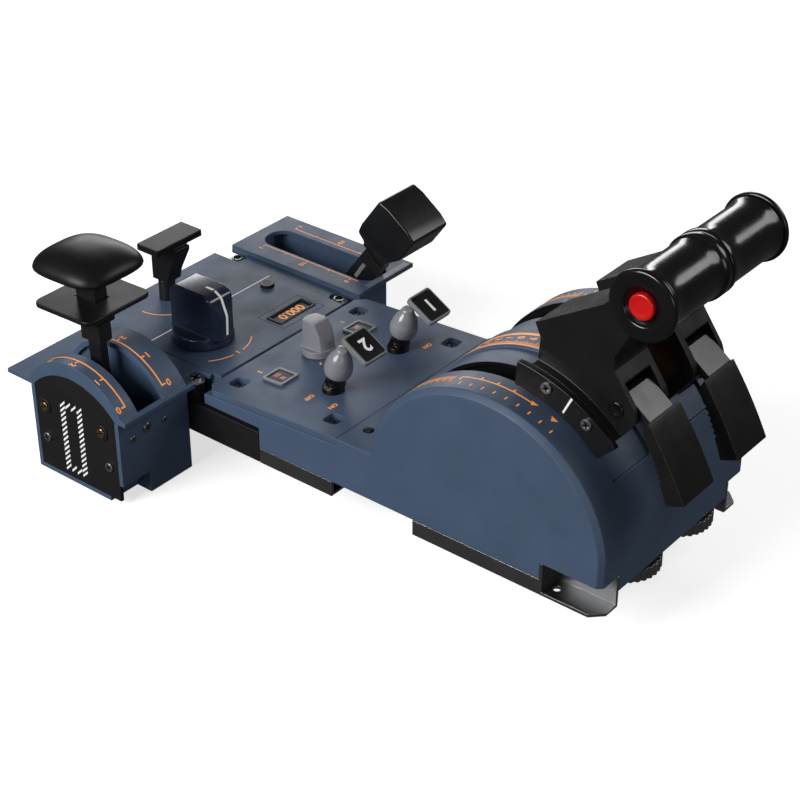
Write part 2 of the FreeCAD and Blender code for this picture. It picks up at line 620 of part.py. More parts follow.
# ---------------------------------------------------------------- thrust levers

LEVER_BASE = ("0", "dome_y", "dome_z")


def on_lever(thing):
    """Seats a piece of a thrust lever that was built upright on the pivot."""
    return lean(thing, LEVER_BASE, "thrust_lean")


def pair(thing):
    """Keeps a right-hand piece and its left-hand twin."""
    keep(thing)
    keep(mirrored(thing.Label.replace("right", "left"), thing))


ARM_PROFILE = [("-12", "0"), ("12", "0"), ("11", "84"), ("11", "90"), ("-2", "98"), ("-2", "140"),
               ("-12", "140")]
AXIS = ("0", "0")


def arm_shape(label, slack):
    """The blade of a lever arm, with its sides moved out by a slack."""
    return prism(label, "X", ARM_PROFILE, ("arm_inner - %s" % slack, "arm_outer + %s" % slack))


def lever_arm():
    hub = rod("hub", "X", AXIS, "hub_radius", ("arm_inner - 1", "arm_outer + 1"))
    bore = rod("hub_bore", "X", AXIS, "shaft_radius + running", ("0", "90"))
    pair(on_lever(cut("lever_arm_right", fuse("arm_body", hub, arm_shape("arm_blade", "0")), bore)))


def grip_drum(label, radius, span):
    return rod(label, "X", ("0", "grip_height"), radius, span)


def lever_hood():
    """A moulded hood over the arm, open in front where the reverse lever comes out."""
    profile = [("-31", "74"), ("-32", "92"), ("-37.2", "104"), ("-44", "109.3"), ("-19.8", "149"),
               ("-13", "grip_height - 8"), ("1", "grip_height - 8"), ("1.2", "129"), ("4.8", "122.6"),
               ("24.9", "112.4"), ("28.6", "108.9"), ("30.1", "105.6"), ("24.9", "76.8")]
    body = prism("hood_body", "X", profile, ("hood_inner", "hood_outer"))
    foot = common("hood_foot_block", prism("hood_foot_side", "X", profile, ("hood_inner", "hood_foot")),
                  rod("hood_foot_round", "X", AXIS, "foot_high", ("hood_inner", "hood_foot")))
    under = rod("hood_under", "X", AXIS, "hood_radius", ("0", "90"))
    mouth = [("latch_pin_y - 7", "latch_pin_z - 6"), ("latch_pin_y - 7", "latch_pin_z + 6"),
             ("latch_pin_y - 3", "latch_pin_z + 8"), ("latch_pin_y - 3", "latch_pin_z + 30"),
             ("latch_step + 15", "latch_pin_z + 30"), ("latch_step + 15", "latch_pin_z - 35"),
             ("latch_pin_y + 7", "latch_pin_z - 7")]
    cuts = [under,
            prism("hood_mouth", "X", mouth, ("neck_inner - move_gap", "neck_outer + move_gap")),
            prism("hood_throat", "X", [("0", "60"), ("24", "60"), ("24", "102"), ("0", "102")],
                  ("arm_inner", "arm_outer")),
            arm_shape("hood_arm_room", "0"),
            grip_drum("hood_saddle", "grip_radius", ("0", "90")),
            rod("hood_pin_hole", "X", ("latch_pin_y", "latch_pin_z"), "latch_pin_radius",
                ("hood_inner + 1", "hood_outer - 1")),
            foot_plate_shape("hood_foot_seat", "foot_inner")]
    pair(on_lever(cut("lever_hood_right", fuse("hood_whole", body, foot), *cuts)))
    pin = rod("latch_pin", "X", ("latch_pin_y", "latch_pin_z"), "latch_pin_radius",
              ("hood_inner + 1", "hood_outer - 1"))
    pair(on_lever(group("latch_pin_right", pin)))


def foot_plate_shape(label, start):
    """A curved plate on the hood's side, between two radii about the pivot."""
    span = (start, "foot_outer")
    fan = prism(label + "_fan", "X", [("0", "0"), ("-55", "129"), ("45", "133")], span)
    high = rod(label + "_high", "X", AXIS, "foot_high", span)
    low = rod(label + "_low", "X", AXIS, "foot_low", span)
    return common(label, fan, cut(label + "_ring", high, low))


SCREW_RADIUS_FROM_PIVOT = "(foot_low + foot_high) / 2 + 2.3"


def foot_plate():
    pair(on_lever(foot_plate_shape("lever_foot_right", "foot_inner")))
    screws = []
    for name, angle in (("rear", "-10.5"), ("front", "7.2")):
        spot = ("(%s) * sin(%s deg)" % (SCREW_RADIUS_FROM_PIVOT, angle),
                "(%s) * cos(%s deg)" % (SCREW_RADIUS_FROM_PIVOT, angle))
        head = rod("foot_screw_" + name, "X", spot, "3.2", ("foot_outer", "foot_outer + 1.4"))
        cross = "foot_cross_" + name
        slots = [block(cross + "_tall", ("foot_outer + 0.8", "foot_outer + 2"),
                       ("%s - 0.45" % spot[0], "%s + 0.45" % spot[0]),
                       ("%s - 1.8" % spot[1], "%s + 1.8" % spot[1])),
                 block(cross + "_wide", ("foot_outer + 0.8", "foot_outer + 2"),
                       ("%s - 1.8" % spot[0], "%s + 1.8" % spot[0]),
                       ("%s - 0.45" % spot[1], "%s + 0.45" % spot[1]))]
        screws.append(cut("foot_head_" + name, head, *slots))
    pair(on_lever(group("foot_screws_right", *screws)))


def grip():
    """A waisted handle across the lever, its end cap, and the red button in the cap."""
    ends = ["grip_half_gap", "grip_half_gap + grip_length / 2", "grip_half_gap + grip_length"]
    axis = ("0", "grip_height")
    inner = taper("grip_inner_half", "X", axis, "grip_radius", "grip_waist", (ends[0], ends[1]))
    outer = taper("grip_outer_half", "X", axis, "grip_waist", "grip_radius", (ends[1], ends[2]))
    face = "%s + cap_thick" % ends[2]
    bore = grip_drum("button_bore", "button_radius + running",
                     ("%s - recess_cap - 9" % face, "%s + 1" % face))
    pair(on_lever(cut("grip_right", fuse("grip_body", inner, outer), bore)))
    cap = grip_drum("cap_disc", "cap_radius", (ends[2], face))
    dish = grip_drum("cap_dish", "button_recess", ("%s - recess_cap" % face, "%s + 1" % face))
    hole = grip_drum("cap_hole", "button_radius + running", (ends[2] + " - 1", "%s + 1" % face))
    pair(on_lever(cut("grip_cap_right", cap, dish, hole)))
    button = grip_drum("button_plunger", "button_radius",
                       ("%s - recess_cap - 6" % face, "%s - recess_cap + button_proud" % face))
    pair(on_lever(group("button_right", button)))


def reverse_lever():
    """A narrow neck on the pin, and a bowed paddle that thickens to a ribbed tip."""
    span = ("latch_inner", "latch_outer")
    bow_y = "latch_pin_y - latch_bow * sin(latch_slope * 1 deg)"
    bow_z = "latch_pin_z + latch_over - latch_bow * cos(latch_slope * 1 deg)"
    inner_y, inner_z = bow_y + " - latch_flare_y", bow_z + " + latch_flare_z"
    inner_radius = "latch_bow - latch_thick"
    outer = rod("latch_outer_face", "X", (bow_y, bow_z), "latch_bow", span)
    inner = rod("latch_inner_face", "X", (inner_y, inner_z), inner_radius, span)
    tip_y, tip_z = "sin(latch_tip * 1 deg)", "cos(latch_tip * 1 deg)"
    room = prism("latch_room", "X",
                 [("latch_step", "latch_pin_z - 20"), ("latch_step", "latch_pin_z + 20"),
                  ("130 * %s" % tip_y, "130 * %s" % tip_z), ("90 * %s" % tip_y, "90 * %s" % tip_z)], span)
    paddle = common("latch_paddle", cut("latch_bowed", outer, inner), room)
    neck_span = ("neck_inner", "neck_outer")
    neck = prism("latch_neck", "X",
                 [("latch_pin_y", "latch_pin_z + 5.4"), ("latch_step + 1", "latch_pin_z + 2.2"),
                  ("latch_step + 1", "latch_pin_z - 1.8"), ("latch_pin_y", "latch_pin_z")], neck_span)
    hub = rod("latch_boss", "X", ("latch_pin_y", "latch_pin_z"), "latch_hub", neck_span)
    bore = rod("latch_bore", "X", ("latch_pin_y", "latch_pin_z"), "latch_pin_radius + running",
               ("0", "90"))
    grooves = []
    for number in range(6):
        angle = "(rib_start - %d * rib_pitch) * 1 deg" % number
        spot = ("%s + (%s) * sin(%s)" % (inner_y, inner_radius, angle),
                "%s + (%s) * cos(%s)" % (inner_z, inner_radius, angle))
        grooves.append(rod("latch_groove_%d" % number, "X", spot, "rib_radius", ("0", "90")))
    body = fuse("latch_body", paddle, neck, hub)
    pair(on_lever(cut("reverse_lever_right", body, bore, *grooves)))


# ---------------------------------------------------------------- friction wheels

def friction_wheels():
    """Knurled wheels under the front wall, each on a stud that hangs from the housing."""
    for side, sign in (("right", 1), ("left", -1)):
        centre = ("-wheel_shift + wheel_pitch / 2 * %d" % sign, "wheel_y")
        disc = rod("wheel_disc_" + side, "Z", centre, "wheel_radius", ("wheel_low", "wheel_high"))
        bore = rod("wheel_bore_" + side, "Z", centre, "stud_radius + running", ("0", "10"))
        notches = []
        count = 30
        for number in range(count):
            angle = "%s deg" % (360.0 / count * number)
            spot = ("%s + (wheel_radius + 0.5) * cos(%s)" % (centre[0], angle),
                    "%s + (wheel_radius + 0.5) * sin(%s)" % (centre[1], angle))
            notches.append(rod("wheel_notch_%s_%d" % (side, number), "Z", spot, "1.4", ("0", "10")))
        keep(cut("friction_wheel_" + side, disc, bore, *notches))
    studs = [rod("stud_" + side, "Z", ("-wheel_shift + wheel_pitch / 2 * %d" % sign, "wheel_y"), "stud_radius",
                 ("wheel_low + 0.6", "shell_low")) for side, sign in (("right", 1), ("left", -1))]
    keep(group("wheel_studs", *studs))


# ---------------------------------------------------------------- rear unit, centre

def centre_chassis():
    front = "-join_rear - panel_gap"
    under = "deck_z - panel_thick"
    box = block("chassis_box", ("-centre_half", "centre_half"), ("-centre_rear", front),
                ("chassis_low", under))
    ledges = [block("ledge_right", ("centre_half", "module_inner"), ("-flange_rear", "-ring_front - 6"),
                    ("deck_z - 9", "deck_z - 3")),
              block("ledge_left", ("-module_inner", "-centre_half"), ("-flange_rear", "-ring_front - 6"),
                    ("deck_z - 12", "deck_z - 2 * raised"))]
    wells = [rod("knob_well", "Z", ("knob_x", "-knob_y"), "3 + running", ("deck_z - 20", "deck_z")),
             rod("park_well", "Z", ("park_x", "-park_y"), "park_radius + running", ("8", "deck_z")),
             rod("reset_well", "Z", ("-reset_x", "-reset_y"), "reset_radius + running",
                 ("deck_z - 12", "deck_z")),
             block("display_well", ("-display_x - display_width / 2", "-display_x + display_width / 2"),
                   ("-display_y - display_depth / 2", "-display_y + display_depth / 2"),
                   ("deck_z - 8", "deck_z")),
             block("socket_well", ("-(socket_width / 2)", "socket_width / 2"),
                   ("-centre_rear - 1", "-centre_rear + 8"), ("14", "14 + socket_height"))]
    keep(cut("centre_chassis", fuse("chassis_body", box, *ledges), *wells))
    shell = block("socket_outer", ("-(socket_width / 2)", "socket_width / 2"),
                  ("-centre_rear - 0.6", "-centre_rear + 8"), ("14", "14 + socket_height"))
    mouth = block("socket_mouth", ("-(socket_width / 2) + 0.4", "socket_width / 2 - 0.4"),
                  ("-centre_rear - 1", "-centre_rear + 6.5"), ("14.4", "13.6 + socket_height"))
    keep(cut("data_socket", shell, mouth))


def rails():
    """Black blocks that join the two units under their side edges."""
    lower = block("rail_lower", ("centre_half", HALF), ("-rail_rear", "-tray_rear - panel_gap"),
                  ("0", "rail_high"))
    tongue = block("rail_tongue", ("centre_half", HALF + " - 4"),
                   ("-join_rear + 1", "-tray_rear - panel_gap"), ("rail_high", "shallow_low"))
    rail = fuse("rail_stock", lower, tongue)
    posts = [rod("ring_post_right", "Z", ("ring_x", "-ring_front"), "5", ("rail_high - 1", "deck_z - 3")),
             rod("ring_post_left", "Z", ("-ring_x", "-ring_front"), "5",
                 ("rail_high - 1", "deck_z - 2 * raised"))]
    keep(group("joining_rails", fuse("rail_right", rail, posts[0]),
               fuse("rail_left", mirrored("rail_stock_left", rail), posts[1])))


def centre_panel():
    front = "-join_rear - panel_gap"
    slab = block("centre_slab", ("-centre_half", "centre_half"), ("-centre_rear", front),
                 ("deck_z - panel_thick", "deck_z"))
    holes = [rod("knob_hole", "Z", ("knob_x", "-knob_y"), "3 + running", ("0", "50")),
             rod("park_hole", "Z", ("park_x", "-park_y"), "park_radius + running", ("0", "50")),
             rod("reset_hole", "Z", ("-reset_x", "-reset_y"), "reset_radius + running", ("0", "50")),
             block("display_hole", ("-display_x - display_width / 2", "-display_x + display_width / 2"),
                   ("-display_y - display_depth / 2", "-display_y + display_depth / 2"), ("0", "50"))]
    keep(cut("centre_panel", slab, *holes))
    rim = plate("display_rim", ("-display_x", "-display_y"), "display_width + 3", "display_depth + 3",
                ("deck_z", "deck_z + 0.6"), "1")
    gap = block("display_gap", ("-display_x - display_width / 2", "-display_x + display_width / 2"),
                ("-display_y - display_depth / 2", "-display_y + display_depth / 2"), ("0", "50"))
    keep(cut("display_frame", rim, gap))
    keep(plate("display_window", ("-display_x", "-display_y"), "display_width - 0.2",
               "display_depth - 0.2", ("deck_z - 8", "deck_z - 0.6"), "0.5"))


def trim_knob():
    """A bar knob on a round skirt."""
    centre = ("knob_x", "-knob_y")
    skirt = taper("knob_skirt_cone", "Z", centre, "knob_radius", "knob_radius - 1.2",
                  ("deck_z + 0.4", "deck_z + knob_skirt"))
    foot, top = "deck_z + knob_skirt - 2", "deck_z + knob_height"
    profile = [("-knob_y - 21", foot), ("-knob_y + 21", foot), ("-knob_y + 21.5", "deck_z + 22"),
               ("-knob_y + 17", "deck_z + knob_height - 3"), ("-knob_y + 12", top),
               ("-knob_y - 12", top), ("-knob_y - 17", "deck_z + knob_height - 3"),
               ("-knob_y - 21.5", "deck_z + 22")]
    bar = prism("knob_bar", "X", profile, ("knob_x - 10", "knob_x + 10"))
    ends = prism("knob_ends", "Z",
                 [("knob_x - 10", "-knob_y - 17"), ("knob_x - 5", "-knob_y - 21.5"),
                  ("knob_x + 5", "-knob_y - 21.5"), ("knob_x + 10", "-knob_y - 17"),
                  ("knob_x + 10", "-knob_y + 17"), ("knob_x + 5", "-knob_y + 21.5"),
                  ("knob_x - 5", "-knob_y + 21.5"), ("knob_x - 10", "-knob_y + 17")],
                 ("deck_z", top))
    stem = rod("knob_stem", "Z", centre, "3", ("deck_z - 19.6", "deck_z + 1"))
    keep(fuse("rudder_trim_knob", skirt, common("knob_blade", bar, ends), stem))


def reset_button():
    centre = ("-reset_x", "-reset_y")
    keep(rod("reset_button", "Z", centre, "reset_radius", ("deck_z - 9", "deck_z + 2")))


def parking_brake():
    """A shaft that lifts, and a T handle that turns on its top."""
    centre = ("park_x", "-park_y")
    post = rod("park_post", "Z", centre, "park_radius", ("12", "deck_z + 14"))
    spigot = rod("park_spigot", "Z", centre, "park_radius - 2", ("12", "park_bar_z - 4"))
    keep(fuse("parking_brake_shaft", post, spigot))
    neck_low = "deck_z + 14 + move_gap"
    profile = [("-park_y - 6.5", neck_low), ("-park_y + 7", neck_low), ("-park_y + 9", "deck_z + 22"),
               ("-park_y + 17", "park_bar_z - 3"), ("-park_y + 17", "park_bar_z"),
               ("-park_y - 6.5", "park_bar_z")]
    neck = prism("park_neck", "X", profile, ("park_x - 6", "park_x + 6"))
    bar = plate("park_bar_plate", ("park_x", "-park_y + park_offset - 4"), "park_bar", "park_bar_depth",
                ("park_bar_z", "park_bar_z + park_bar_thick"), "1")
    bore = rod("park_bore", "Z", centre, "park_radius - 2 + running", ("0", "park_bar_z - 4 + move_gap"))
    keep(cut("parking_brake_handle", fuse("park_t", neck, bar), bore))


# ---------------------------------------------------------------- flaps module

FLAPS = ("-flaps_y", "flaps_z")
BRAKE = ("-brake_y", "-brake_depth")
FLANGE = ("deck_z - 3", "deck_z")


def flaps_cover():
    """The arched cover and its flange, slotted for the lever."""
    flange = block("flaps_flange", ("centre_half + panel_gap", "module_outer"),
                   ("-flange_rear", "-flange_front"), FLANGE)
    drum = rod("flaps_drum", "X", FLAPS, "arch_radius", ("arch_inner", "module_outer"))
    above = block("flaps_above", ("0", "200"), ("-250", "0"), ("deck_z - 3", "100"))
    slot = ("flaps_x - flaps_slot / 2", "flaps_x + flaps_slot / 2")
    hollow = rod("flaps_hollow", "X", FLAPS, "arch_radius - cover_skin",
                 ("flaps_x - flaps_slot / 2 - 3", "flaps_x + flaps_slot / 2 + 3"))
    tray = block("flaps_mouth", ("flaps_x - flaps_slot / 2 - 3", "flaps_x + flaps_slot / 2 + 3"),
                 ("-box_rear + 4", "-flaps_front - 4"), ("deck_z - 4", "deck_z"))
    window = sector("flaps_window", FLAPS, "arch_radius * 1.4", "flaps_slot_front",
                    "flaps_slot_rear", slot)
    notch = ring_notch("flaps_ring", ("ring_x", "-ring_front"), ("-ring_front", "-flange_front + 1"))
    arch = common("flaps_arch", drum, above)
    keep(cut("flaps_cover", fuse("flaps_shell", flange, arch), hollow, common("flaps_gap", tray, hollow),
             window, side_plate_shape("flaps_plate_seat_upper", "module_outer + 1"), notch))


def ring_notch(label, centre, run):
    """A round-ended notch that lets a captive screw's ring through to a panel's edge."""
    end = rod(label + "_end", "Z", centre, "ring_room", ("0", "60"))
    way = block(label + "_way", across(centre[0], "2 * ring_room"), run, ("0", "60"))
    return fuse(label + "_notch", end, way)


def side_plate_shape(label, outer):
    """The black arched plate let into the outer side."""
    span = ("module_outer - plate_depth", outer)
    top = rod(label + "_arch", "X", ("-flaps_y - 1", "2.4"), "plate_radius", span)
    lower = block(label + "_lower", span, ("-box_rear + 3", "-flaps_front - 3"), ("-box_low + 3", "2.4"))
    room = block(label + "_room", span, ("-box_rear + 3", "-flaps_front - 3"), ("-box_low + 3", "60"))
    return common(label, fuse(label + "_whole", top, lower), room)


def flaps_housing():
    box = block("flaps_box", ("module_inner", "module_outer"), ("-box_rear", "-flaps_front"),
                ("-box_low", "deck_z - 3"))
    corner = block("flaps_corner", ("module_outer - 22", "module_outer + 1"),
                   ("-flaps_front - 12", "-flaps_front + 1"), ("-box_low - 1", "-box_low + 14.5"))
    bay = ("flaps_x - flaps_slot / 2 - 3", "flaps_x + flaps_slot / 2 + 3")
    drum = rod("flaps_bay_drum", "X", FLAPS, "arch_radius - cover_skin", bay)
    lower = block("flaps_bay_lower", bay, ("-box_rear + 2.5", "-flaps_front - 2"), ("-box_low + 6", "60"))
    upper = block("flaps_bay_upper", bay, ("-box_rear - 1", "-flaps_front - 2"), ("deck_z - 9", "60"))
    room = fuse("flaps_bay_room", lower, upper)
    pin = rod("flaps_pin_hole", "X", FLAPS, "pin_radius", ("flaps_x - 20", "flaps_x + 20"))
    keep(cut("flaps_housing", box, corner, common("flaps_bay", drum, room), pin,
             side_plate_shape("flaps_plate_seat", "module_outer + 1")))
    flaps_pin = rod("flaps_pin", "X", FLAPS, "pin_radius", ("flaps_x - 20", "flaps_x + 20"))
    brake_pin = rod("speed_brake_pin", "X", BRAKE, "pin_radius", ("-brake_x - 19", "-brake_x + 19"))
    keep(group("lever_pins", flaps_pin, brake_pin))
    keep(side_plate_shape("flaps_side_plate", "module_outer"))
    brass = []
    steel = []
    for name, y, z, kind in (("rear_top", "-180.6", "20.7", brass), ("front_top", "-131.8", "21.2", brass),
                             ("rear_low", "-180.8", "-1.3", steel), ("front_low", "-127.2", "-1.2", steel)):
        kind.append(rod("case_screw_" + name, "X", (y, z), "3",
                        ("module_outer", "module_outer + 1.4")))
    keep(group("flaps_brass_screws", *brass))
    keep(group("flaps_steel_screws", *steel))


FLAPS_BASE = ("0", "-flaps_y", "flaps_z")


def flaps_lever():
    hub = rod("flaps_hub", "X", AXIS, "9", across("flaps_x", "flaps_slot - 4"))
    blade = block("flaps_blade", across("flaps_x", "blade_width"), across("0", "blade_depth"),
                  ("0", "stem_start"))
    stem = block("flaps_stem", across("flaps_x", "stem_width"), across("0", "stem_depth"),
                 ("stem_start", "cap_low"))
    bore = rod("flaps_bore", "X", AXIS, "pin_radius + running", ("0", "150"))
    keep(lean(cut("flaps_lever", fuse("flaps_lever_body", hub, blade, stem), bore), FLAPS_BASE,
              "-flaps_lean"))
    rim = plate("flaps_cap_rim", ("flaps_x", "0"), "cap_width", "cap_depth",
                ("cap_low", "cap_low + cap_rim"), "9")
    pillow = plate("flaps_cap_pillow", ("flaps_x", "0"), "cap_width - 3", "cap_depth - 3",
                   ("cap_low", "cap_low + cap_rim + cap_crown"), "8")
    ball = named("Part::Sphere", "flaps_cap_ball")
    bind(ball, "Radius", "cap_width * 1.2")
    bind(ball, "Placement.Base.x", "flaps_x")
    bind(ball, "Placement.Base.z", "cap_low + cap_rim + cap_crown - cap_width * 1.2")
    keep(lean(fuse("flaps_cap", rim, common("flaps_cap_crown", pillow, ball)), FLAPS_BASE, "-flaps_lean"))
    collar = plate("collar_plate", ("flaps_x", "0"), "collar_width", "collar_depth",
                   ("collar_z", "collar_z + collar_thick"), "6")
    sleeve = plate("collar_sleeve", ("flaps_x", "0"), "stem_width + 5", "stem_depth + 5",
                   ("collar_z - 12", "collar_z + 1"), "2")
    hole = block("collar_hole", across("flaps_x", "stem_width + 2 * move_gap"),
                 across("0", "stem_depth + 2 * move_gap"), ("0", "200"))
    keep(lean(cut("flaps_lift_collar", fuse("collar_body", collar, sleeve), hole), FLAPS_BASE,
              "-flaps_lean"))


# ---------------------------------------------------------------- speed-brake module

BRAKE_BASE = ("0", "-brake_y", "-brake_depth")


def speed_brake_case():
    box = block("brake_box", ("-brake_outer", "-module_inner"), ("-brake_rear", "-flaps_front"),
                ("-box_low", "deck_z - raised"))
    corner = block("brake_corner", ("-brake_outer - 1", "-brake_outer + notch_wide"),
                   ("-flaps_front - notch_deep", "-flaps_front + 1"), ("-box_low - 1", "deck_z"))
    bay = across("-brake_x", "brake_slot + 2")
    room = block("brake_bay", bay, ("-brake_rear + 3", "-flaps_front - 2.5"), ("-box_low + 2.5", "60"))
    mouth = block("brake_mouth", bay, ("-brake_rear + 3", "-flaps_front + 1"), ("deck_z - 13", "60"))
    pin = rod("brake_pin_hole", "X", BRAKE, "pin_radius", ("-brake_x - 19", "-brake_x + 19"))
    keep(cut("speed_brake_housing", box, corner, room, mouth, pin))
    strip = block("brake_strip", ("-module_inner", "-centre_half - panel_gap"),
                  ("-centre_rear + 1", "-join_rear - panel_gap"), ("deck_z - 2 * raised", "deck_z - raised"))
    rib = block("brake_rib", ("-module_inner - 3", "-module_inner + 1"),
                ("-centre_rear + 1", "-join_rear - panel_gap"), ("deck_z - 2 * raised", "deck_z"))
    raised = block("brake_raised", ("-brake_outer", "-module_inner + 1"),
                   ("-centre_rear + 1", "-panel_edge"), ("deck_z - raised", "deck_z"))
    slot = plate("brake_slot_cut", ("-brake_x", "-(brake_slot_rear + brake_slot_front) / 2"), "brake_slot",
                 "brake_slot_rear - brake_slot_front", ("0", "60"), "brake_slot / 2 - 0.5")
    housing_room = block("brake_housing_room", ("-brake_outer - 1", "-module_inner"),
                         ("-centre_rear", "-panel_edge + 1"), ("0", "deck_z - raised"))
    notches = [ring_notch("brake_ring_front", ("-ring_x", "-ring_front"), ("-ring_front", "-100")),
               ring_notch("brake_ring_rear", ("-ring_x", "-ring_rear"), ("-centre_rear", "-ring_rear"))]
    keep(cut("speed_brake_panel", fuse("brake_cover", strip, rib, raised), slot, housing_room, *notches))
    rings = []
    for side, sign, ends in (("left", -1, ("front", "rear")), ("right", 1, ("front",))):
        for end in ends:
            centre = ("ring_x * %d" % sign, "-ring_" + end)
            base = "deck_z - 3" if side == "right" else "deck_z - 2 * raised"
            collar = rod("ring_collar_%s_%s" % (side, end), "Z", centre, "5.6", (base, base + " + 1"))
            head = rod("ring_head_%s_%s" % (side, end), "Z", centre, "3.6", (base, base + " + 2.6"))
            slit = block("ring_slit_%s_%s" % (side, end), across(centre[0], "7.6"),
                         across(centre[1], "0.9"), (base + " + 1.7", base + " + 3"))
            rings.append(cut("ring_%s_%s" % (side, end), fuse("ring_body_%s_%s" % (side, end), collar, head),
                             slit))
    keep(group("captive_screws", *rings))


def speed_brake_lever():
    hub = rod("brake_hub", "X", AXIS, "8.5", across("-brake_x", "brake_slot - 4"))
    blade = block("brake_blade", across("-brake_x", "arm_width"), across("0", "arm_depth"),
                  ("0", "arm_end"))
    tongue = block("brake_tongue", across("-brake_x", "arm_width - 3"), across("0", "arm_depth - 5"),
                   ("arm_end", "handle_low + 22"))
    bore = rod("brake_bore", "X", AXIS, "pin_radius + running", ("-150", "0"))
    arm = cut("speed_brake_arm", fuse("brake_arm_body", hub, blade, tongue), bore)
    keep(lean(arm, BRAKE_BASE, "brake_lean"))
    side = prism("handle_side", "X",
                 [("-10", "handle_low"), ("10", "handle_low"), ("11", "handle_mid - 8"),
                  ("17.5", "handle_mid + 6"), ("17.5", "handle_top"), ("9", "handle_top + 1.8"),
                  ("-9", "handle_top + 1.8"), ("-17.5", "handle_top"), ("-17.5", "handle_low + 8"),
                  ("-11", "handle_low + 5")],
                 ("-brake_x - handle_half", "-brake_x + handle_half"))
    face = prism("handle_face", "Y",
                 [("-brake_x - 10", "handle_low"), ("-brake_x + 10", "handle_low"),
                  ("-brake_x + handle_half", "handle_mid"), ("-brake_x + handle_half", "handle_top + 3"),
                  ("-brake_x - handle_half", "handle_top + 3"), ("-brake_x - handle_half", "handle_mid")],
                 ("-30", "30"))
    slide = block("handle_slot", across("-brake_x", "arm_width - 3 + 2 * move_gap"),
                  across("0", "arm_depth - 5 + 2 * move_gap"), ("0", "handle_low + 22 + move_gap"))
    handle = cut("speed_brake_handle", common("handle_block", side, face), slide)
    keep(lean(handle, BRAKE_BASE, "brake_lean"))


# ---------------------------------------------------------------- build and write

def build():
    base_tray()
    throttle_housing()
    engine_panel()
    annunciators()
    mode_knob()
    master_bushes()
    master_switch("right", 1)
    master_switch("left", -1)
    lever_arm()
    lever_hood()
    foot_plate()
    grip()
    reverse_lever()
    friction_wheels()
    centre_chassis()
    rails()
    centre_panel()
    trim_knob()
    reset_button()
    parking_brake()
    flaps_cover()
    flaps_housing()
    flaps_lever()
    speed_brake_case()
    speed_brake_lever()
    doc.recompute()


def write():
    """Checks every object and shape, then writes each sub-part to its own file."""
    for thing in doc.Objects:
        if "Invalid" in thing.State or "Error" in thing.State:
            raise RuntimeError("%s did not compute" % thing.Label)
    os.makedirs("parts", exist_ok=True)
    for node in NODES:
        shape = node.Shape
        if shape.isNull() or not shape.isValid() or not shape.Solids:
            raise RuntimeError("%s has no valid solid" % node.Label)
        shape.exportStep(os.path.join("parts", node.Label + ".step"))
        print(node.Label, len(shape.Solids), round(shape.Volume, 1))


build()
write()
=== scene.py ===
import json
import math

import bmesh
import bpy
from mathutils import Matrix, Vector


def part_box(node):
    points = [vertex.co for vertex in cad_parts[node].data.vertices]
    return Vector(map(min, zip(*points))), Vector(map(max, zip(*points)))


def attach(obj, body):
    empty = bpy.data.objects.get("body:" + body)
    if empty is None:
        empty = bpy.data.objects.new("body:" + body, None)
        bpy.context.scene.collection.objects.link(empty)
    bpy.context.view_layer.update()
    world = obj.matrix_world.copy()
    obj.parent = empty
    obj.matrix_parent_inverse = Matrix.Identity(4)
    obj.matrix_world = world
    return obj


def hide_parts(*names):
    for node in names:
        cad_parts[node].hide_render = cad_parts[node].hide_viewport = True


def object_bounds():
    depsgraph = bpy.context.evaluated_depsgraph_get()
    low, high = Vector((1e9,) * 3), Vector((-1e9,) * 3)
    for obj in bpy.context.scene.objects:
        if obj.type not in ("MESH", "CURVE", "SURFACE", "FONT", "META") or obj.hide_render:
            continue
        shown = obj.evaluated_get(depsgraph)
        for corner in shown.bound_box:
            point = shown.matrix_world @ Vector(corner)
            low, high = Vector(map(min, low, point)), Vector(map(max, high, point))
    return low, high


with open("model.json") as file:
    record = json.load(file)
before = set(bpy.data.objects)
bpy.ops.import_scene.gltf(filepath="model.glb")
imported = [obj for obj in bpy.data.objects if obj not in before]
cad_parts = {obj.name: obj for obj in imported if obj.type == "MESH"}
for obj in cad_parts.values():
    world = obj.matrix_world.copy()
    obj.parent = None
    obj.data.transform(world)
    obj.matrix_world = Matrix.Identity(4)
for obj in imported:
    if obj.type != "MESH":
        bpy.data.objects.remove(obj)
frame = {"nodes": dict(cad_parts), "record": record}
CAD_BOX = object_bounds()
NODES = frame["nodes"]
RECORD = frame["record"]
SLOT_OF = {part["node"]: part["material_slot"] for part in RECORD["subparts"]}
BODY_OF = {node: body for body, members in RECORD["behaviour"]["bodies"].items()
           for node in members}

MM = 0.001
SIDES = (("right", 1), ("left", -1))

# ------------------------------------------------------------------ places from the frame
# all in mm and degrees

JOINTS = {joint["name"]: joint for joint in RECORD["behaviour"]["joints"]}


def in_mm(corner):
    return [round(c / MM, 3) for c in corner]


def pivot(joint):
    """Where a hinge turns."""
    return in_mm(JOINTS[joint]["pos_m"])


def lean_of(joint):
    """How far a joint's axis leans forward from upright."""
    _, forward, up = JOINTS[joint]["axis"]
    return round(math.degrees(math.atan2(forward, up)), 1)


def middle_of(node):
    low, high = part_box(node)
    return in_mm((low + high) / 2)


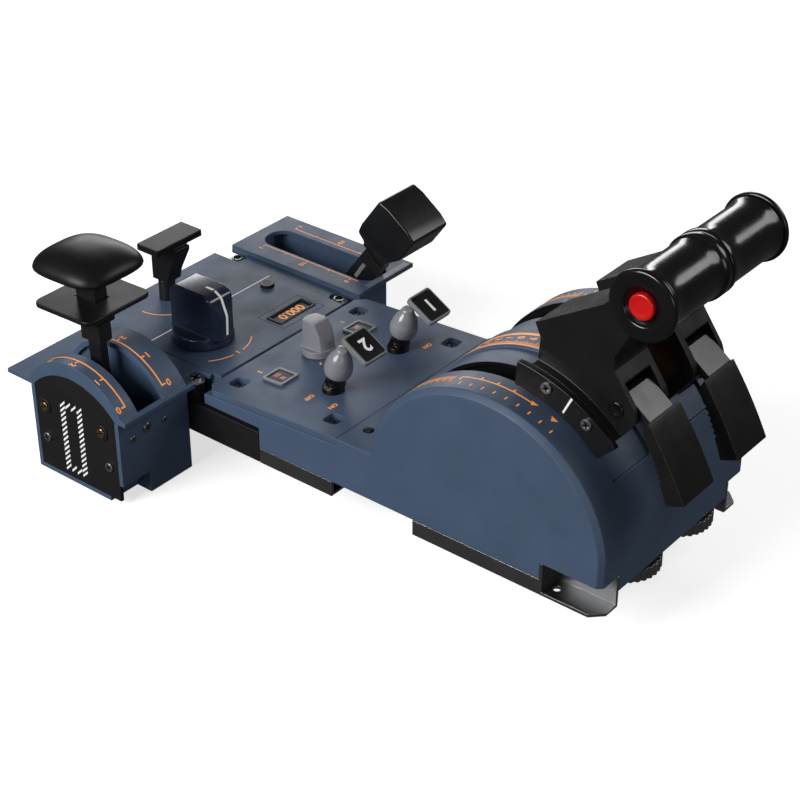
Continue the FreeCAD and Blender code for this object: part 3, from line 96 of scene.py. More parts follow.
_, THRUST_Y, THRUST_Z = pivot("thrust_lever_right_swing")   # the dome is turned about it too
_, grip_y, grip_z = middle_of("grip_right")
GRIP_HEIGHT = round(math.hypot(grip_y - THRUST_Y, grip_z - THRUST_Z), 1)
THRUST_LEAN = round(math.degrees(math.atan2(grip_y - THRUST_Y, grip_z - THRUST_Z)), 1)
FOOT_SIDE = in_mm(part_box("lever_foot_right")[1])[0]
FLAPS_X, FLAPS_Y, FLAPS_Z = pivot("flaps_lever_swing")      # the arched scale is round it too
FLAPS_LEAN = lean_of("flaps_collar_lift")
FLAPS_FRONT_Y = in_mm(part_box("flaps_housing")[1])[1]
SIDE_PLATE_X = in_mm(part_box("flaps_side_plate")[1])[0]
DECK_TOP = in_mm(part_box("centre_panel")[1])[2]
PARKING_X, PARKING_Y, _ = pivot("parking_brake_turn")
RESET_X, RESET_Y, _ = middle_of("reset_button")
WINDOW_X, WINDOW_Y, _ = middle_of("display_window")
SWITCH_X = pivot("master_lever_right_flip")[0]
SWITCH_LEAN = lean_of("master_knob_right_lift")
PANEL_TILT = math.radians(-lean_of("mode_knob_turn"))       # it rises towards the front

# what the frame doesn't state, as in the part's source
DOME_R, ARCH_R = 80.7, 46.2
PANEL_FRONT_Z = 40.6
SWITCH_V, MODE_KNOB_V = -38.0, -76  # along the switch panel, from its front edge
LENS_RISE = 0.88                    # of the annunciators' lenses above that panel
ARM_SIDE_X = -96.45                 # the speed-brake arm's right-hand side
HOOD_PIN = (43.5, 164.6, 111.9)     # the right-hand one
WELL = (54.7, 9.0, 41.5)            # in the strip behind the dome, the right-hand one

# ------------------------------------------------------------------ materials

SOCKETS = {"rough": "Roughness", "metal": "Metallic", "coat": "Coat Weight",
           "coat_rough": "Coat Roughness", "transmission": "Transmission Weight", "ior": "IOR",
           "specular": "Specular IOR Level", "glow": "Emission Strength",
           "glow_color": "Emission Color"}


def socket_set(shader, **values):
    for key, value in values.items():
        shader.inputs[SOCKETS[key]].default_value = value


class Nodes:
    """A short way to wire a material's nodes."""

    def __init__(self, name):
        self.material = bpy.data.materials.new(name)
        self.material.use_nodes = True
        self.tree = self.material.node_tree
        self.shader = self.tree.nodes["Principled BSDF"]
        coordinates = self.tree.nodes.new("ShaderNodeTexCoord")
        self.place = coordinates.outputs["Object"]

    def add(self, kind, inputs=None, **settings):
        node = self.tree.nodes.new(kind)
        for key, value in settings.items():
            setattr(node, key, value)
        for key, value in (inputs or {}).items():
            self.feed(node.inputs[key], value)
        return node

    def link(self, output, target):
        self.tree.links.new(output, target)

    def feed(self, target, value):
        """Sets a socket to a value, or links it to another node's output."""
        if isinstance(value, bpy.types.NodeSocket):
            self.link(value, target)
        else:
            target.default_value = value

    def stretched(self, scale):
        mapping = self.add("ShaderNodeMapping", {"Vector": self.place, "Scale": scale})
        return mapping.outputs["Vector"]

    def noise(self, scale, detail=4.0, vector=None):
        return self.add("ShaderNodeTexNoise", {"Vector": vector or self.place, "Scale": scale,
                                               "Detail": detail, "Roughness": 0.55}).outputs["Fac"]

    def ramp(self, value, low, high, bottom=0.0, top=1.0):
        return self.add("ShaderNodeMapRange", {
            "Value": value, "From Min": low, "From Max": high,
            "To Min": bottom, "To Max": top}).outputs["Result"]

    def times(self, first, second):
        return self.add("ShaderNodeMath", {0: first, 1: second}, operation="MULTIPLY").outputs[0]

    def blend(self, amount, first, second):
        """Mixes two colours; 6, 7 and 2 are the colour sockets among the node's many."""
        return self.add("ShaderNodeMix", {"Factor": amount, 6: first, 7: second},
                        data_type="RGBA").outputs[2]

    def edge(self, radius, low=0.93, high=0.995):
        """1 along convex and concave edges, 0 on the flats."""
        bevelled = self.add("ShaderNodeBevel", {"Radius": radius}, samples=4).outputs["Normal"]
        flat_normal = self.add("ShaderNodeNewGeometry").outputs["Normal"]
        same = self.add("ShaderNodeVectorMath", {0: bevelled, 1: flat_normal},
                        operation="DOT_PRODUCT")
        return self.ramp(same.outputs["Value"], low, high, 1.0, 0.0)

    def color_from(self, output):
        self.link(output, self.shader.inputs["Base Color"])

    def rough_from(self, output):
        self.link(output, self.shader.inputs["Roughness"])

    def bump(self, height, strength, distance):
        node = self.add("ShaderNodeBump",
                        {"Height": height, "Strength": strength, "Distance": distance})
        self.link(node.outputs["Normal"], self.shader.inputs["Normal"])


def tone(color, factor):
    return tuple(min(1.0, c * factor) for c in color[:3]) + (1.0,)


def painted(name, color, rough):
    """Sprayed paint: fine orange peel, faint mottling, and edges a little paler: a painted
    highlight, patchy like rubbed wear.
    """
    n = Nodes(name)
    mottle = n.ramp(n.noise(34.0, 5.0), 0.35, 0.68)
    body = n.blend(mottle, tone(color, 0.93), tone(color, 1.06))
    scuffs = n.ramp(n.noise(90.0, 6.0, n.stretched((1.0, 7.0, 1.0))), 0.62, 0.78, 0.0, 0.22)
    scuffed = n.blend(scuffs, body, tone(color, 1.3))
    # paler edges, broken up by noise: painted highlight mixed with rubbed wear
    edge_wear_and_highlight = n.times(n.edge(0.0007), n.ramp(n.noise(420.0, 5.0), 0.42, 0.62, 0.2, 1.0))
    n.color_from(n.blend(n.times(edge_wear_and_highlight, 0.25), scuffed, tone(color, 1.45)))
    n.rough_from(n.ramp(n.noise(60.0, 5.0), 0.3, 0.7, rough - 0.05, rough + 0.08))
    n.bump(n.noise(2600.0, 3.0), 0.16, 0.00012)
    socket_set(n.shader, specular=0.45)
    return n.material


def moulded(name, color, rough, grain=3200.0, strength=0.25, pale=2.6, coat=0.0, specular=0.5):
    """Moulded plastic: spark-eroded grain, a shine that varies, and edges lightened as a painted
    highlight.
    """
    n = Nodes(name)
    cloud = n.ramp(n.noise(48.0, 4.0), 0.3, 0.7)
    body = n.blend(cloud, tone(color, 0.85), tone(color, 1.2))
    dust = n.ramp(n.noise(700.0, 6.0), 0.68, 0.82, 0.0, 0.04)
    dusty = n.blend(dust, body, (0.3, 0.3, 0.3, 1.0))
    # edges lightened towards tone(color, pale): a painted highlight
    n.color_from(n.blend(n.times(n.edge(0.0006), 0.3), dusty, tone(color, pale)))
    n.rough_from(n.ramp(n.noise(75.0, 5.0), 0.3, 0.72, rough - 0.03, rough + 0.04))
    n.bump(n.noise(grain, 2.0), strength, 0.00008)
    socket_set(n.shader, coat=coat, coat_rough=0.12, specular=specular)
    return n.material


def metal(name, color, rough, along=(8.0, 8.0, 8.0), streak=0.1):
    """Drawn or turned metal: fine parallel streaks and faint tarnish."""
    n = Nodes(name)
    streaks = n.noise(160.0, 6.0, n.stretched(along))
    tarnish = n.ramp(n.noise(45.0, 5.0), 0.4, 0.72)
    body = n.blend(tarnish, tone(color, 1.0), tone(color, 0.82))
    n.color_from(n.blend(n.ramp(streaks, 0.35, 0.65, 0.0, 0.5), body, tone(color, 0.88)))
    n.rough_from(n.ramp(streaks, 0.3, 0.7, rough - streak / 2, rough + streak))
    n.bump(streaks, 0.1, 0.00003)
    socket_set(n.shader, metal=1.0)
    return n.material


def frosted(name, color, rough):
    """Clear plastic that scatters light, with tiny flow marks inside, and a painted highlight
    along its edges.
    """
    n = Nodes(name)
    haze = n.ramp(n.noise(28.0, 2.0), 0.3, 0.7)
    body = n.blend(haze, tone(color, 0.96), tone(color, 1.03))
    # edges lightened: a painted highlight
    n.color_from(n.blend(n.times(n.edge(0.0009, 0.9, 0.99), 0.45), body, tone(color, 1.9)))
    n.rough_from(n.ramp(n.noise(60.0, 2.0), 0.3, 0.7, rough, rough + 0.06))
    n.bump(n.noise(1400.0, 2.0), 0.05, 0.00003)
    socket_set(n.shader, transmission=0.35, ior=1.46, coat=0.35, coat_rough=0.1)
    return n.material


def printed(name, color, rough=0.5, glow=0.0):
    """Screen-printed ink with slightly uneven cover; glow makes the ink give off light, a painted
    glow.
    """
    n = Nodes(name)
    cover = n.ramp(n.noise(1500.0, 4.0), 0.35, 0.62)
    n.color_from(n.blend(cover, tone(color, 0.82), tone(color, 1.0)))
    n.rough_from(n.ramp(n.noise(900.0, 3.0), 0.3, 0.7, rough - 0.08, rough + 0.1))
    n.bump(n.noise(2500.0, 2.0), 0.15, 0.00004)
    socket_set(n.shader, glow=glow, glow_color=tone(color, 1.0))
    return n.material


INK_BLACK = (0.006, 0.006, 0.0065)
ROUND = (6.0, 6.0, 1.0)     # streaks round an upright axis
FINISH = {
    # the record's slots
    "blue_paint": painted("blue_paint", (0.062, 0.098, 0.165), 0.5),
    "black_plastic": moulded("black_plastic", (0.010, 0.010, 0.011), 0.45, specular=0.32),
    "black_gloss": moulded("black_gloss", (0.009, 0.009, 0.0095), 0.26, strength=0.1),
    "steel": metal("steel", (0.27, 0.272, 0.275), 0.34, (1.0, 60.0, 60.0), 0.12),
    "chrome_screw": metal("chrome_screw", (0.5, 0.5, 0.51), 0.34),
    "brass_screw": metal("brass_screw", (0.72, 0.45, 0.2), 0.22, streak=0.08),
    "red_plastic": moulded("red_plastic", (0.62, 0.006, 0.006), 0.3, strength=0.08, pale=1.3,
                           coat=0.4),
    "clear_grey": frosted("clear_grey", (0.36, 0.37, 0.39), 0.2),
    "blue_plastic": moulded("blue_plastic", (0.016, 0.024, 0.05), 0.22, strength=0.05, pale=2.2,
                            coat=0.4),
    "dark_lens": moulded("dark_lens", (0.012, 0.012, 0.014), 0.4, strength=0.04, specular=0.2),
    "light_frame": moulded("light_frame", (0.16, 0.17, 0.18), 0.4),
    # looks that single pieces have within those slots
    "dark_screw": metal("dark_screw", (0.07, 0.072, 0.08), 0.36),
    "gunmetal": metal("gunmetal", (0.3, 0.3, 0.31), 0.3, ROUND),
    "bronze_black": metal("bronze_black", (0.075, 0.06, 0.05), 0.2, ROUND, 0.06),
    "black_coated": moulded("black_coated", (0.009, 0.009, 0.010), 0.34, strength=0.1,
                            specular=0.4),
    "grip_gloss": moulded("grip_gloss", INK_BLACK, 0.17, grain=2400.0, strength=0.04),
    "soft_black": moulded("soft_black", INK_BLACK, 0.4, strength=0.1, specular=0.3),
    "painted_shade_black": moulded("painted_shade_black", (0.003, 0.003, 0.003), 0.7, strength=0.1, pale=1.0,
                          specular=0.1),
    "sign_rim": moulded("sign_rim", (0.2, 0.205, 0.215), 0.36, strength=0.1, pale=1.8),
    "bare_black": moulded("bare_black", INK_BLACK, 0.5, specular=0.12),
}
# both inks glow faintly: painted light
ORANGE = printed("orange_ink", (0.92, 0.34, 0.07), glow=0.34)
WHITE = printed("white_ink", (0.8, 0.8, 0.8), glow=0.25)

# ------------------------------------------------------------------ pieces


def linked(name, data):
    """A new object with this data, in the scene."""
    thing = bpy.data.objects.new(name, data)
    bpy.context.scene.collection.objects.link(thing)
    return thing


def finish_piece(piece, material, body, nodes=()):
    piece.data.materials.clear()
    piece.data.materials.append(material)
    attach(piece, body)
    if nodes:
        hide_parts(*nodes)
    return piece


def tidy_mesh(mesh):
    """Merges doubled points and melts the flat triangles into whole faces."""
    work = bmesh.new()
    work.from_mesh(mesh)
    bmesh.ops.remove_doubles(work, verts=work.verts, dist=2e-6)
    bmesh.ops.dissolve_limit(work, angle_limit=math.radians(0.6), verts=work.verts,
                             edges=work.edges, delimit=set())
    bmesh.ops.recalc_face_normals(work, faces=work.faces)
    work.to_mesh(mesh)
    work.free()


def rounded(piece, width):
    """Breaks every edge sharper than 32 degrees, and shades the flats as flat."""
    bevel = piece.modifiers.new("edges", "BEVEL")
    bevel.width = width * MM
    bevel.segments = 2
    bevel.limit_method = "ANGLE"
    bevel.angle_limit = math.radians(32.0)
    bevel.use_clamp_overlap = False
    bevel.harden_normals = False
    piece.data.shade_smooth()
    weighted = piece.modifiers.new("shading", "WEIGHTED_NORMAL")
    weighted.keep_sharp = True
    weighted.weight = 60


def dress(node, width):
    """A copy of a node with its edges broken, which stands for that node."""
    mesh = NODES[node].data.copy()
    mesh.name = node + "_dressed"
    tidy_mesh(mesh)
    piece = linked(node + "_dressed", mesh)
    rounded(piece, width)
    slot = SLOT_OF[node]
    finish = FINISH[OWN_FINISH.get(node, slot)]
    return finish_piece(piece, finish, BODY_OF[node], (node,))


def build(name, vertices, faces, material, body, nodes=(), smooth=True):
    """A piece from points in mm."""
    mesh = bpy.data.meshes.new(name)
    mesh.from_pydata([tuple(c * MM for c in v) for v in vertices], [], faces)
    mesh.validate()
    mesh.update()
    work = bmesh.new()
    work.from_mesh(mesh)
    bmesh.ops.recalc_face_normals(work, faces=work.faces)
    work.to_mesh(mesh)
    work.free()
    piece = linked(name, mesh)
    if smooth:
        mesh.shade_smooth()
    return finish_piece(piece, material, body, nodes)


def skin(name, rings, material, body, nodes, closed=False):
    """Joins equal rings of points one after another; closed joins the last to the first."""
    count, last = len(rings[0]), len(rings) - 1
    faces = []
    for ring in range(last + 1 if closed else last):
        low, high = ring * count, ((ring + 1) % len(rings)) * count
        for step in range(count):
            after = (step + 1) % count
            faces.append((low + step, low + after, high + after, high + step))
    if not closed:
        faces.append(tuple(range(count))[::-1])
        faces.append(tuple(last * count + step for step in range(count)))
    return build(name, [point for ring in rings for point in ring], faces, material, body,
                 nodes)


def revolve(name, profile, place, material, body, nodes=(), steps=64, closed=False):
    """Turns (radius, height) points about an axis; place maps a local point to the frame."""
    turns = [2 * math.pi * step / steps for step in range(steps)]
    rings = [[place(radius * math.cos(turn), radius * math.sin(turn), height) for turn in turns]
             for radius, height in profile]
    return skin(name, rings, material, body, nodes, closed)


def cushion_ring(half_x, half_y, corner, steps=14):
    """Points round a rectangle with generous corners."""
    points = []
    for quarter in range(4):
        for step in range(steps):
            angle = math.pi / 2 * (quarter + step / steps)
            cx = (half_x - corner) * (1 if quarter in (0, 3) else -1)
            cy = (half_y - corner) * (1 if quarter in (0, 1) else -1)
            points.append((cx + corner * math.cos(angle), cy + corner * math.sin(angle)))
    return points


def squarish_ring(half, share, square, steps=96):
    """Points round a share of an oval that grows squarer as square rises above 2."""
    points = []
    for step in range(steps):
        angle = 2 * math.pi * step / steps
        c, d = math.cos(angle), math.sin(angle)
        points.append((math.copysign(abs(c) ** (2 / square), c) * half[0] * share,
                       math.copysign(abs(d) ** (2 / square), d) * half[1] * share))
    return points


# ------------------------------------------------------------------ places and surfaces
# A place maps local x, y, z in mm to the frame. A surface maps u, v to a point and its normal.


def on_axes(origin, x_axis, y_axis, z_axis):
    o, a, b, c = Vector(origin), Vector(x_axis), Vector(y_axis), Vector(z_axis)
    return lambda x, y, z: tuple(o + a * x + b * y + c * z)


def leaned(base, degrees):
    """The axes of something that leans forward about X through a base point."""
    s, c = math.sin(math.radians(degrees)), math.cos(math.radians(degrees))
    return on_axes(base, (1, 0, 0), (0, c, -s), (0, s, c))


def facing_up(x, y, z):
    return on_axes((x, y, z), (1, 0, 0), (0, 1, 0), (0, 0, 1))


def facing_front(x, y, z):
    return on_axes((x, y, z), (-1, 0, 0), (0, 0, 1), (0, 1, 0))


def facing_side(x, y, z, sign=1):
    """Facing the right-hand side, or the left for a sign of -1."""
    return on_axes((x, y, z), (0, sign, 0), (0, 0, 1), (sign, 0, 0))


def flat(height):
    return lambda u, v: ((u, v, height), (0, 0, 1))


def right_face(x):
    return lambda u, v: ((x, u, v), (1, 0, 0))


def drum(y, z, radius):
    """u is x, v is the angle in degrees from forward, towards up."""
    def surface(u, v):
        a = math.radians(v)
        return ((u, y + radius * math.cos(a), z + radius * math.sin(a)),
                (0, math.cos(a), math.sin(a)))
    return surface


def wrapped(whole, radius, x, angle):
    """Flat print laid round a drum, its top towards the front."""
    return lambda u, v: whole(x + u, angle - math.degrees(v / radius))


def panel(u, v):
    """The tilted switch panel; v is 0 at its front edge and falls towards the rear."""
    return ((u, v * math.cos(PANEL_TILT), PANEL_FRONT_Z + v * math.sin(PANEL_TILT)),
            (0, -math.sin(PANEL_TILT), math.cos(PANEL_TILT)))


def lens(u, v):
    """The lenses' upper faces, just above the switch panel."""
    (x, y, z), normal = panel(u, v)
    return (x, y, z + LENS_RISE), normal


def upright(place, height):
    """The upper face of a leaning piece, in its own axes."""
    foot, top = Vector(place(0, 0, 0)), Vector(place(0, 0, 1))
    normal = tuple(top - foot)
    return lambda u, v: (place(u, v, height), normal)


def switch_place(sign):
    """A master switch's own axes: z runs up its lever."""
    return leaned(panel(sign * SWITCH_X, SWITCH_V)[0], SWITCH_LEAN)


class Print:
    """Collects printed patches on one body into one piece."""

    def __init__(self, name, material, body):
        self.name, self.material, self.body = name, material, body
        self.vertices, self.faces = [], []

    def add(self, vertices, faces):
        start = len(self.vertices)
        self.vertices.extend(vertices)
        self.faces.extend(tuple(index + start for index in face) for face in faces)

    def laid(self, surface, points, lift):
        """Points just above a surface."""
        vertices = []
        for u, v in points:
            point, normal = surface(u, v)
            vertices.append(tuple(p + n * lift for p, n in zip(point, normal)))
        return vertices

    def patch(self, surface, across, along, rows=2, lift=0.07):
        """A strip from across[0] to across[1], in as many rows as a curve needs."""
        points = [(across[0] + (across[1] - across[0]) * column,
                   along[0] + (along[1] - along[0]) * row / (rows - 1))
                  for row in range(rows) for column in (0, 1)]
        self.add(self.laid(surface, points, lift),
                 [(2 * row, 2 * row + 1, 2 * row + 3, 2 * row + 2) for row in range(rows - 1)])

    def polygon(self, surface, points, lift=0.07):
        self.add(self.laid(surface, points, lift), [tuple(range(len(points)))])

    def bars(self, surface, reach, half_width, angles, lift):
        """Bars through the middle of a surface: the cross or the slot of a screw."""
        corners = ((-reach, -half_width), (reach, -half_width), (reach, half_width),
                   (-reach, half_width))
        for angle in angles:
            c, s = math.cos(math.radians(angle)), math.sin(math.radians(angle))
            self.polygon(surface, [(a * c - b * s, a * s + b * c) for a, b in corners], lift)

    def arc(self, surface, centre, radius, width, first, last, steps=24):
        for step in range(steps):
            a = math.radians(first + (last - first) * step / steps)
            b = math.radians(first + (last - first) * (step + 1) / steps)
            ring = [(radius, a), (radius + width, a), (radius + width, b), (radius, b)]
            self.polygon(surface, [(centre[0] + r * math.cos(t), centre[1] + r * math.sin(t))
                                   for r, t in ring])

    def text(self, surface, words, centre, height):
        """Plain figures, set flat on the surface about a middle point."""
        curve = bpy.data.curves.new("figures", "FONT")
        curve.body = words
        curve.size = height / 0.72
        curve.align_x = "CENTER"
        curve.align_y = "CENTER"
        curve.resolution_u = 6
        curve.offset = 0.028 * curve.size
        holder = linked("figures", curve)
        mesh = bpy.data.meshes.new_from_object(holder)
        points = [(centre[0] + vertex.co.x, centre[1] + vertex.co.y) for vertex in mesh.vertices]
        self.add(self.laid(surface, points, 0.07), [tuple(p.vertices) for p in mesh.polygons])
        bpy.data.objects.remove(holder)
        bpy.data.curves.remove(curve)
        bpy.data.meshes.remove(mesh)

    def done(self):
        piece = build(self.name, self.vertices, self.faces, self.material, self.body,
                      smooth=False)
        cover = piece.modifiers.new("ink", "SOLIDIFY")
        cover.thickness = 0.05 * MM
        cover.offset = -1.0


# ------------------------------------------------------------------ dressed nodes

# how wide each node's broken edges are
SOFT_EDGES = {
    "base_tray": 0.25, "throttle_housing": 0.6, "engine_panel": 0.35, "centre_chassis": 0.4,
    "joining_rails": 0.4, "centre_panel": 0.35, "display_frame": 0.25, "flaps_cover": 0.4,
    "flaps_housing": 0.12, "flaps_side_plate": 0.3, "speed_brake_housing": 0.4,
    "speed_brake_panel": 0.4, "panel_screws": 0.3, "annunciator_frames": 0.25,
    "annunciator_lenses": 0.2, "master_bushes": 0.3, "data_socket": 0.15, "display_window": 0.15,
    "flaps_brass_screws": 0.3, "flaps_steel_screws": 0.3, "captive_screws": 0.2,
    "reset_button": 0.4, "parking_brake_shaft": 0.4, "parking_brake_handle": 0.6,
    "mode_knob": 0.7, "rudder_trim_knob": 1.2, "flaps_lever": 0.5, "flaps_lift_collar": 0.8,
    "speed_brake_arm": 0.5, "speed_brake_handle": 1.6, "lever_arm_right": 0.4,
    "lever_arm_left": 0.4, "lever_hood_right": 0.5, "lever_hood_left": 0.5,
    "lever_foot_right": 0.5, "lever_foot_left": 0.5, "foot_screws_right": 0.15,
    "foot_screws_left": 0.15, "reverse_lever_right": 0.5, "reverse_lever_left": 0.5,
    "friction_wheel_right": 0.3, "friction_wheel_left": 0.3, "thrust_shaft": 0.3,
    "wheel_studs": 0.3, "lever_pins": 0.3, "latch_pin_right": 0.3, "latch_pin_left": 0.3,
    "master_lever_right": 0.2, "master_lever_left": 0.2, "master_placard_right": 0.5,
    "master_placard_left": 0.5,
}
# the nodes that don't look like the rest of their slot
OWN_FINISH = {
    "panel_screws": "dark_screw", "master_bushes": "bronze_black",
    "friction_wheel_right": "gunmetal", "friction_wheel_left": "gunmetal",
    "flaps_lever": "black_coated", "speed_brake_arm": "black_coated",
    "parking_brake_shaft": "black_coated", "lever_arm_right": "black_coated",
    "lever_arm_left": "black_coated", "master_placard_right": "sign_rim",
    "master_placard_left": "sign_rim", "flaps_lift_collar": "soft_black",
    "parking_brake_handle": "soft_black",
}
dressed = {node: dress(node, width) for node, width in SOFT_EDGES.items()}

# the inside of the lever slots is near black and dull: painted shade
SLOT_INNER, SLOT_OUTER, SLOT_FLOOR_Z = 29.0, 49.0, 11.0
SLOT_REAR, SLOT_FRONT = 150.0, 62.0     # angles about the levers' axis
BELOW_SKIN_R, DEEP_R = 80.3, 60.0
shell = dressed["throttle_housing"].data
shell.materials.append(FINISH["painted_shade_black"])
for face in shell.polygons:
    across, along, up = (c / MM for c in face.center)
    depth = math.hypot(along - THRUST_Y, up - THRUST_Z)
    turn = math.degrees(math.atan2(up - THRUST_Z, along - THRUST_Y))
    in_slot = (SLOT_INNER < abs(across) < SLOT_OUTER and depth < BELOW_SKIN_R
               and SLOT_FLOOR_Z < up)
    if in_slot and (SLOT_FRONT < turn < SLOT_REAR or depth < DEEP_R):
        face.material_index = 1

# ------------------------------------------------------------------ thrust levers
# profiles as (radius, distance outwards from the module's middle)

GRIP = [
    (15.6, 0.4), (17.1, 0.45), (18.1, 0.6), (18.35, 1.2), (18.35, 4.6), (18.0, 5.2), (17.2, 5.5),
    (17.0, 6.0), (16.95, 14.0), (16.95, 40.0), (17.05, 44.0), (17.3, 47.0), (17.75, 49.6),
    (18.2, 51.4), (15.0, 52.0)]
GRIP_CAP = [
    (7.5, 52.05), (18.6, 52.05), (19.2, 52.5), (19.4, 53.2), (19.3, 54.2), (18.8, 55.0),
    (17.9, 55.35), (11.6, 55.38), (10.8, 55.1), (10.4, 54.4), (10.2, 53.6), (7.5, 53.6)]
BUTTON = [
    (7.15, 47.7), (7.15, 55.1), (6.95, 55.7), (6.4, 56.0), (5.4, 56.05), (4.9, 55.85),
    (3.5, 55.75), (0.4, 55.72)]
LEVER = leaned((0, THRUST_Y, THRUST_Z), THRUST_LEAN)
for side, sign in SIDES:
    lever_body = "thrust_lever_" + side

    def along_grip(x, y, z, sign=sign):
        return LEVER(sign * z, x, GRIP_HEIGHT + y)

    revolve("grip_%s_moulding" % side, GRIP, along_grip, FINISH["grip_gloss"], lever_body,
            ("grip_" + side,), 96)
    revolve("grip_cap_%s_moulding" % side, GRIP_CAP, along_grip, FINISH["grip_gloss"],
            lever_body, ("grip_cap_" + side,), 96, closed=True)
    revolve("button_%s_moulding" % side, BUTTON, along_grip, FINISH["red_plastic"],
            "disconnect_button_" + side, ("button_" + side,))

# ------------------------------------------------------------------ master switches
# profiles as (radius, height above the switch panel along the leaning lever)

BULB = [
    (4.6, 12.6), (6.6, 12.7), (7.7, 13.3), (8.35, 14.8), (8.65, 17.0), (8.6, 19.2), (8.2, 21.6),
    (7.4, 24.2), (6.3, 26.6), (5.2, 28.4), (4.4, 29.6), (4.0, 30.6), (3.7, 31.6), (2.9, 32.5),
    (1.6, 32.9), (0.4, 32.98)]
NECK = [
    (4.6, 5.85), (6.0, 5.9), (6.4, 6.5), (5.7, 7.4), (5.5, 8.6), (6.0, 9.4), (6.1, 11.4),
    (6.5, 12.2), (6.5, 12.65), (4.6, 12.65)]
for side, sign in SIDES:
    revolve("master_knob_%s_moulding" % side, BULB, switch_place(sign), FINISH["clear_grey"],
            "master_knob_" + side, ("master_knob_" + side,))
    revolve("master_neck_%s_moulding" % side, NECK, switch_place(sign), FINISH["bronze_black"],
            "master_knob_" + side, steps=56, closed=True)

# ------------------------------------------------------------------ flaps cap

CAP_HALF = (26.4, 28.9)
CAP_RIM_SHARE, CAP_RIM_Z, CAP_CROWN, CAP_SQUARE = 0.993, 104.2, 11.2, 3.5
FLAPS_LEVER = leaned((FLAPS_X, FLAPS_Y, FLAPS_Z), FLAPS_LEAN)

# (share of the half sizes, height, squareness): the rolled rim, then the crown
cap_levels = [(0.45, 101.0, 3.2), (0.86, 101.05, 3.4), (0.955, 101.7, CAP_SQUARE),
              (0.99, 102.6, CAP_SQUARE), (1.0, 103.4, CAP_SQUARE),
              (CAP_RIM_SHARE, CAP_RIM_Z, CAP_SQUARE)]
for step in range(1, 25):
    turn = math.pi / 2 * step / 25
    cap_levels.append((CAP_RIM_SHARE * math.cos(turn) ** 0.82,
                       CAP_RIM_Z + CAP_CROWN * math.sin(turn) ** 1.12,
                       CAP_SQUARE - 1.3 * step / 25))
skin("flaps_cap_moulding",
     [[FLAPS_LEVER(x, y, height) for x, y in squarish_ring(CAP_HALF, share, square)]
      for share, height, square in cap_levels],
     FINISH["soft_black"], "flaps_lever", ("flaps_cap",))

# ------------------------------------------------------------------ printing

DOME = drum(THRUST_Y, THRUST_Z, DOME_R)
ARCH = drum(FLAPS_Y, FLAPS_Z, ARCH_R)
DECK = flat(DECK_TOP)
# the dark prints it lifts stand for the shade in grooves and gaps: painted shade
FLUSH = 0.03    # lift of what is meant to look like a groove


def tick(printer, surface, line, reach, middle, half):
    """A mark out from a scale's line at u = line, centred on v = middle."""
    printer.patch(surface, sorted((line, line + reach)), (middle - half, middle + half))


# the dome: a scale along each outer edge, and a ruled band with figures on the ridge
dome_print = Print("dome_marks", ORANGE, "base")
for sign in (1, -1):
    dome_print.patch(DOME, sorted((sign * 56.3, sign * 57.2)), (75.0, 108.0), rows=24)
    dome_print.patch(DOME, sorted((sign * 57.2, sign * 60.2)), (107.2, 108.0))
    for angle in (84.1, 91.5, 99.0):
        dome_print.patch(DOME, sorted((sign * 54.4, sign * 56.4)), (angle - 0.4, angle + 0.4))
    for angle in (74.6, 64.9):
        dome_print.polygon(DOME, [(sign * 55.2, angle + 1.6), (sign * 58.6, angle + 0.4),
                                  (sign * 55.4, angle - 1.7)])
    for step in range(26):
        angle = 111.0 + step * 1.15
        reach = 63.0 if step % 3 == 0 else 60.4
        dome_print.patch(DOME, sorted((sign * 56.3, sign * reach)), (angle - 0.27, angle + 0.27))
    for step in range(9):
        angle = 62.0 + step * 5.4
        dome_print.patch(DOME, sorted((sign * 62.8, sign * 65.6)), (angle - 0.3, angle + 0.3))
BAND_FIRST, BAND_LAST, BAND_STEP = 52.0, 138.0, 5.9
for across in ((-3.0, -1.9), (11.6, 12.8)):
    dome_print.patch(DOME, across, (BAND_FIRST, BAND_LAST), rows=44)
for step in range(86):
    angle = 52.6 + step
    dome_print.patch(DOME, (8.9 if step % 5 else 7.6, 11.6), (angle - 0.25, angle + 0.25))
for step in range(15):
    start = BAND_FIRST + step * BAND_STEP
    dome_print.patch(DOME, (-1.9, -0.4), (start, start + BAND_STEP), rows=4)
    dome_print.text(wrapped(DOME, DOME_R, 3.5, start + 2.9), str((step + 1) % 10), (0, 0), 4.6)
dome_print.done()

flaps_print = Print("flaps_scale", ORANGE, "base")
STOPS = (39.4, 65.3, 91.0, 117.5, 143.0)
for line_x, out in ((123.6, 1), (93.2, -1)):
    flaps_print.patch(ARCH, (line_x - 0.5, line_x + 0.5), (STOPS[0] - 0.6, STOPS[-1] + 0.6),
                      rows=34)
    for number, angle in enumerate(STOPS):
        tick(flaps_print, ARCH, line_x, out * 2.9, angle, 0.6)
        flaps_print.text(wrapped(ARCH, ARCH_R, line_x + out * 5.2, angle), str(number), (0, 0),
                         4.2)
flaps_print.done()

panel_print = Print("switch_marks", ORANGE, "base")
for words, spot in (("2", (39.0, -89.3)), ("1", (-38.4, -89.8)),
                    ("ON", (45.2, -26.0)), ("OFF", (45.4, -44.2)),
                    ("ON", (-43.9, -26.0)), ("OFF", (-43.9, -44.2))):
    panel_print.text(panel, words, spot, 3.1)
for angle in (45, 90, 135):
    ray = math.radians(angle)
    panel_print.polygon(panel, [
        (radius * math.cos(ray + spread), MODE_KNOB_V + radius * math.sin(ray + spread))
        for radius, spread in ((13.4, 0.04), (13.4, -0.04), (16.2, -0.033), (16.2, 0.033))])
panel_print.done()

deck_print = Print("deck_line", WHITE, "base")
deck_print.patch(DECK, (-55.8, 56.8), (-168.0, -167.3))
deck_print.done()

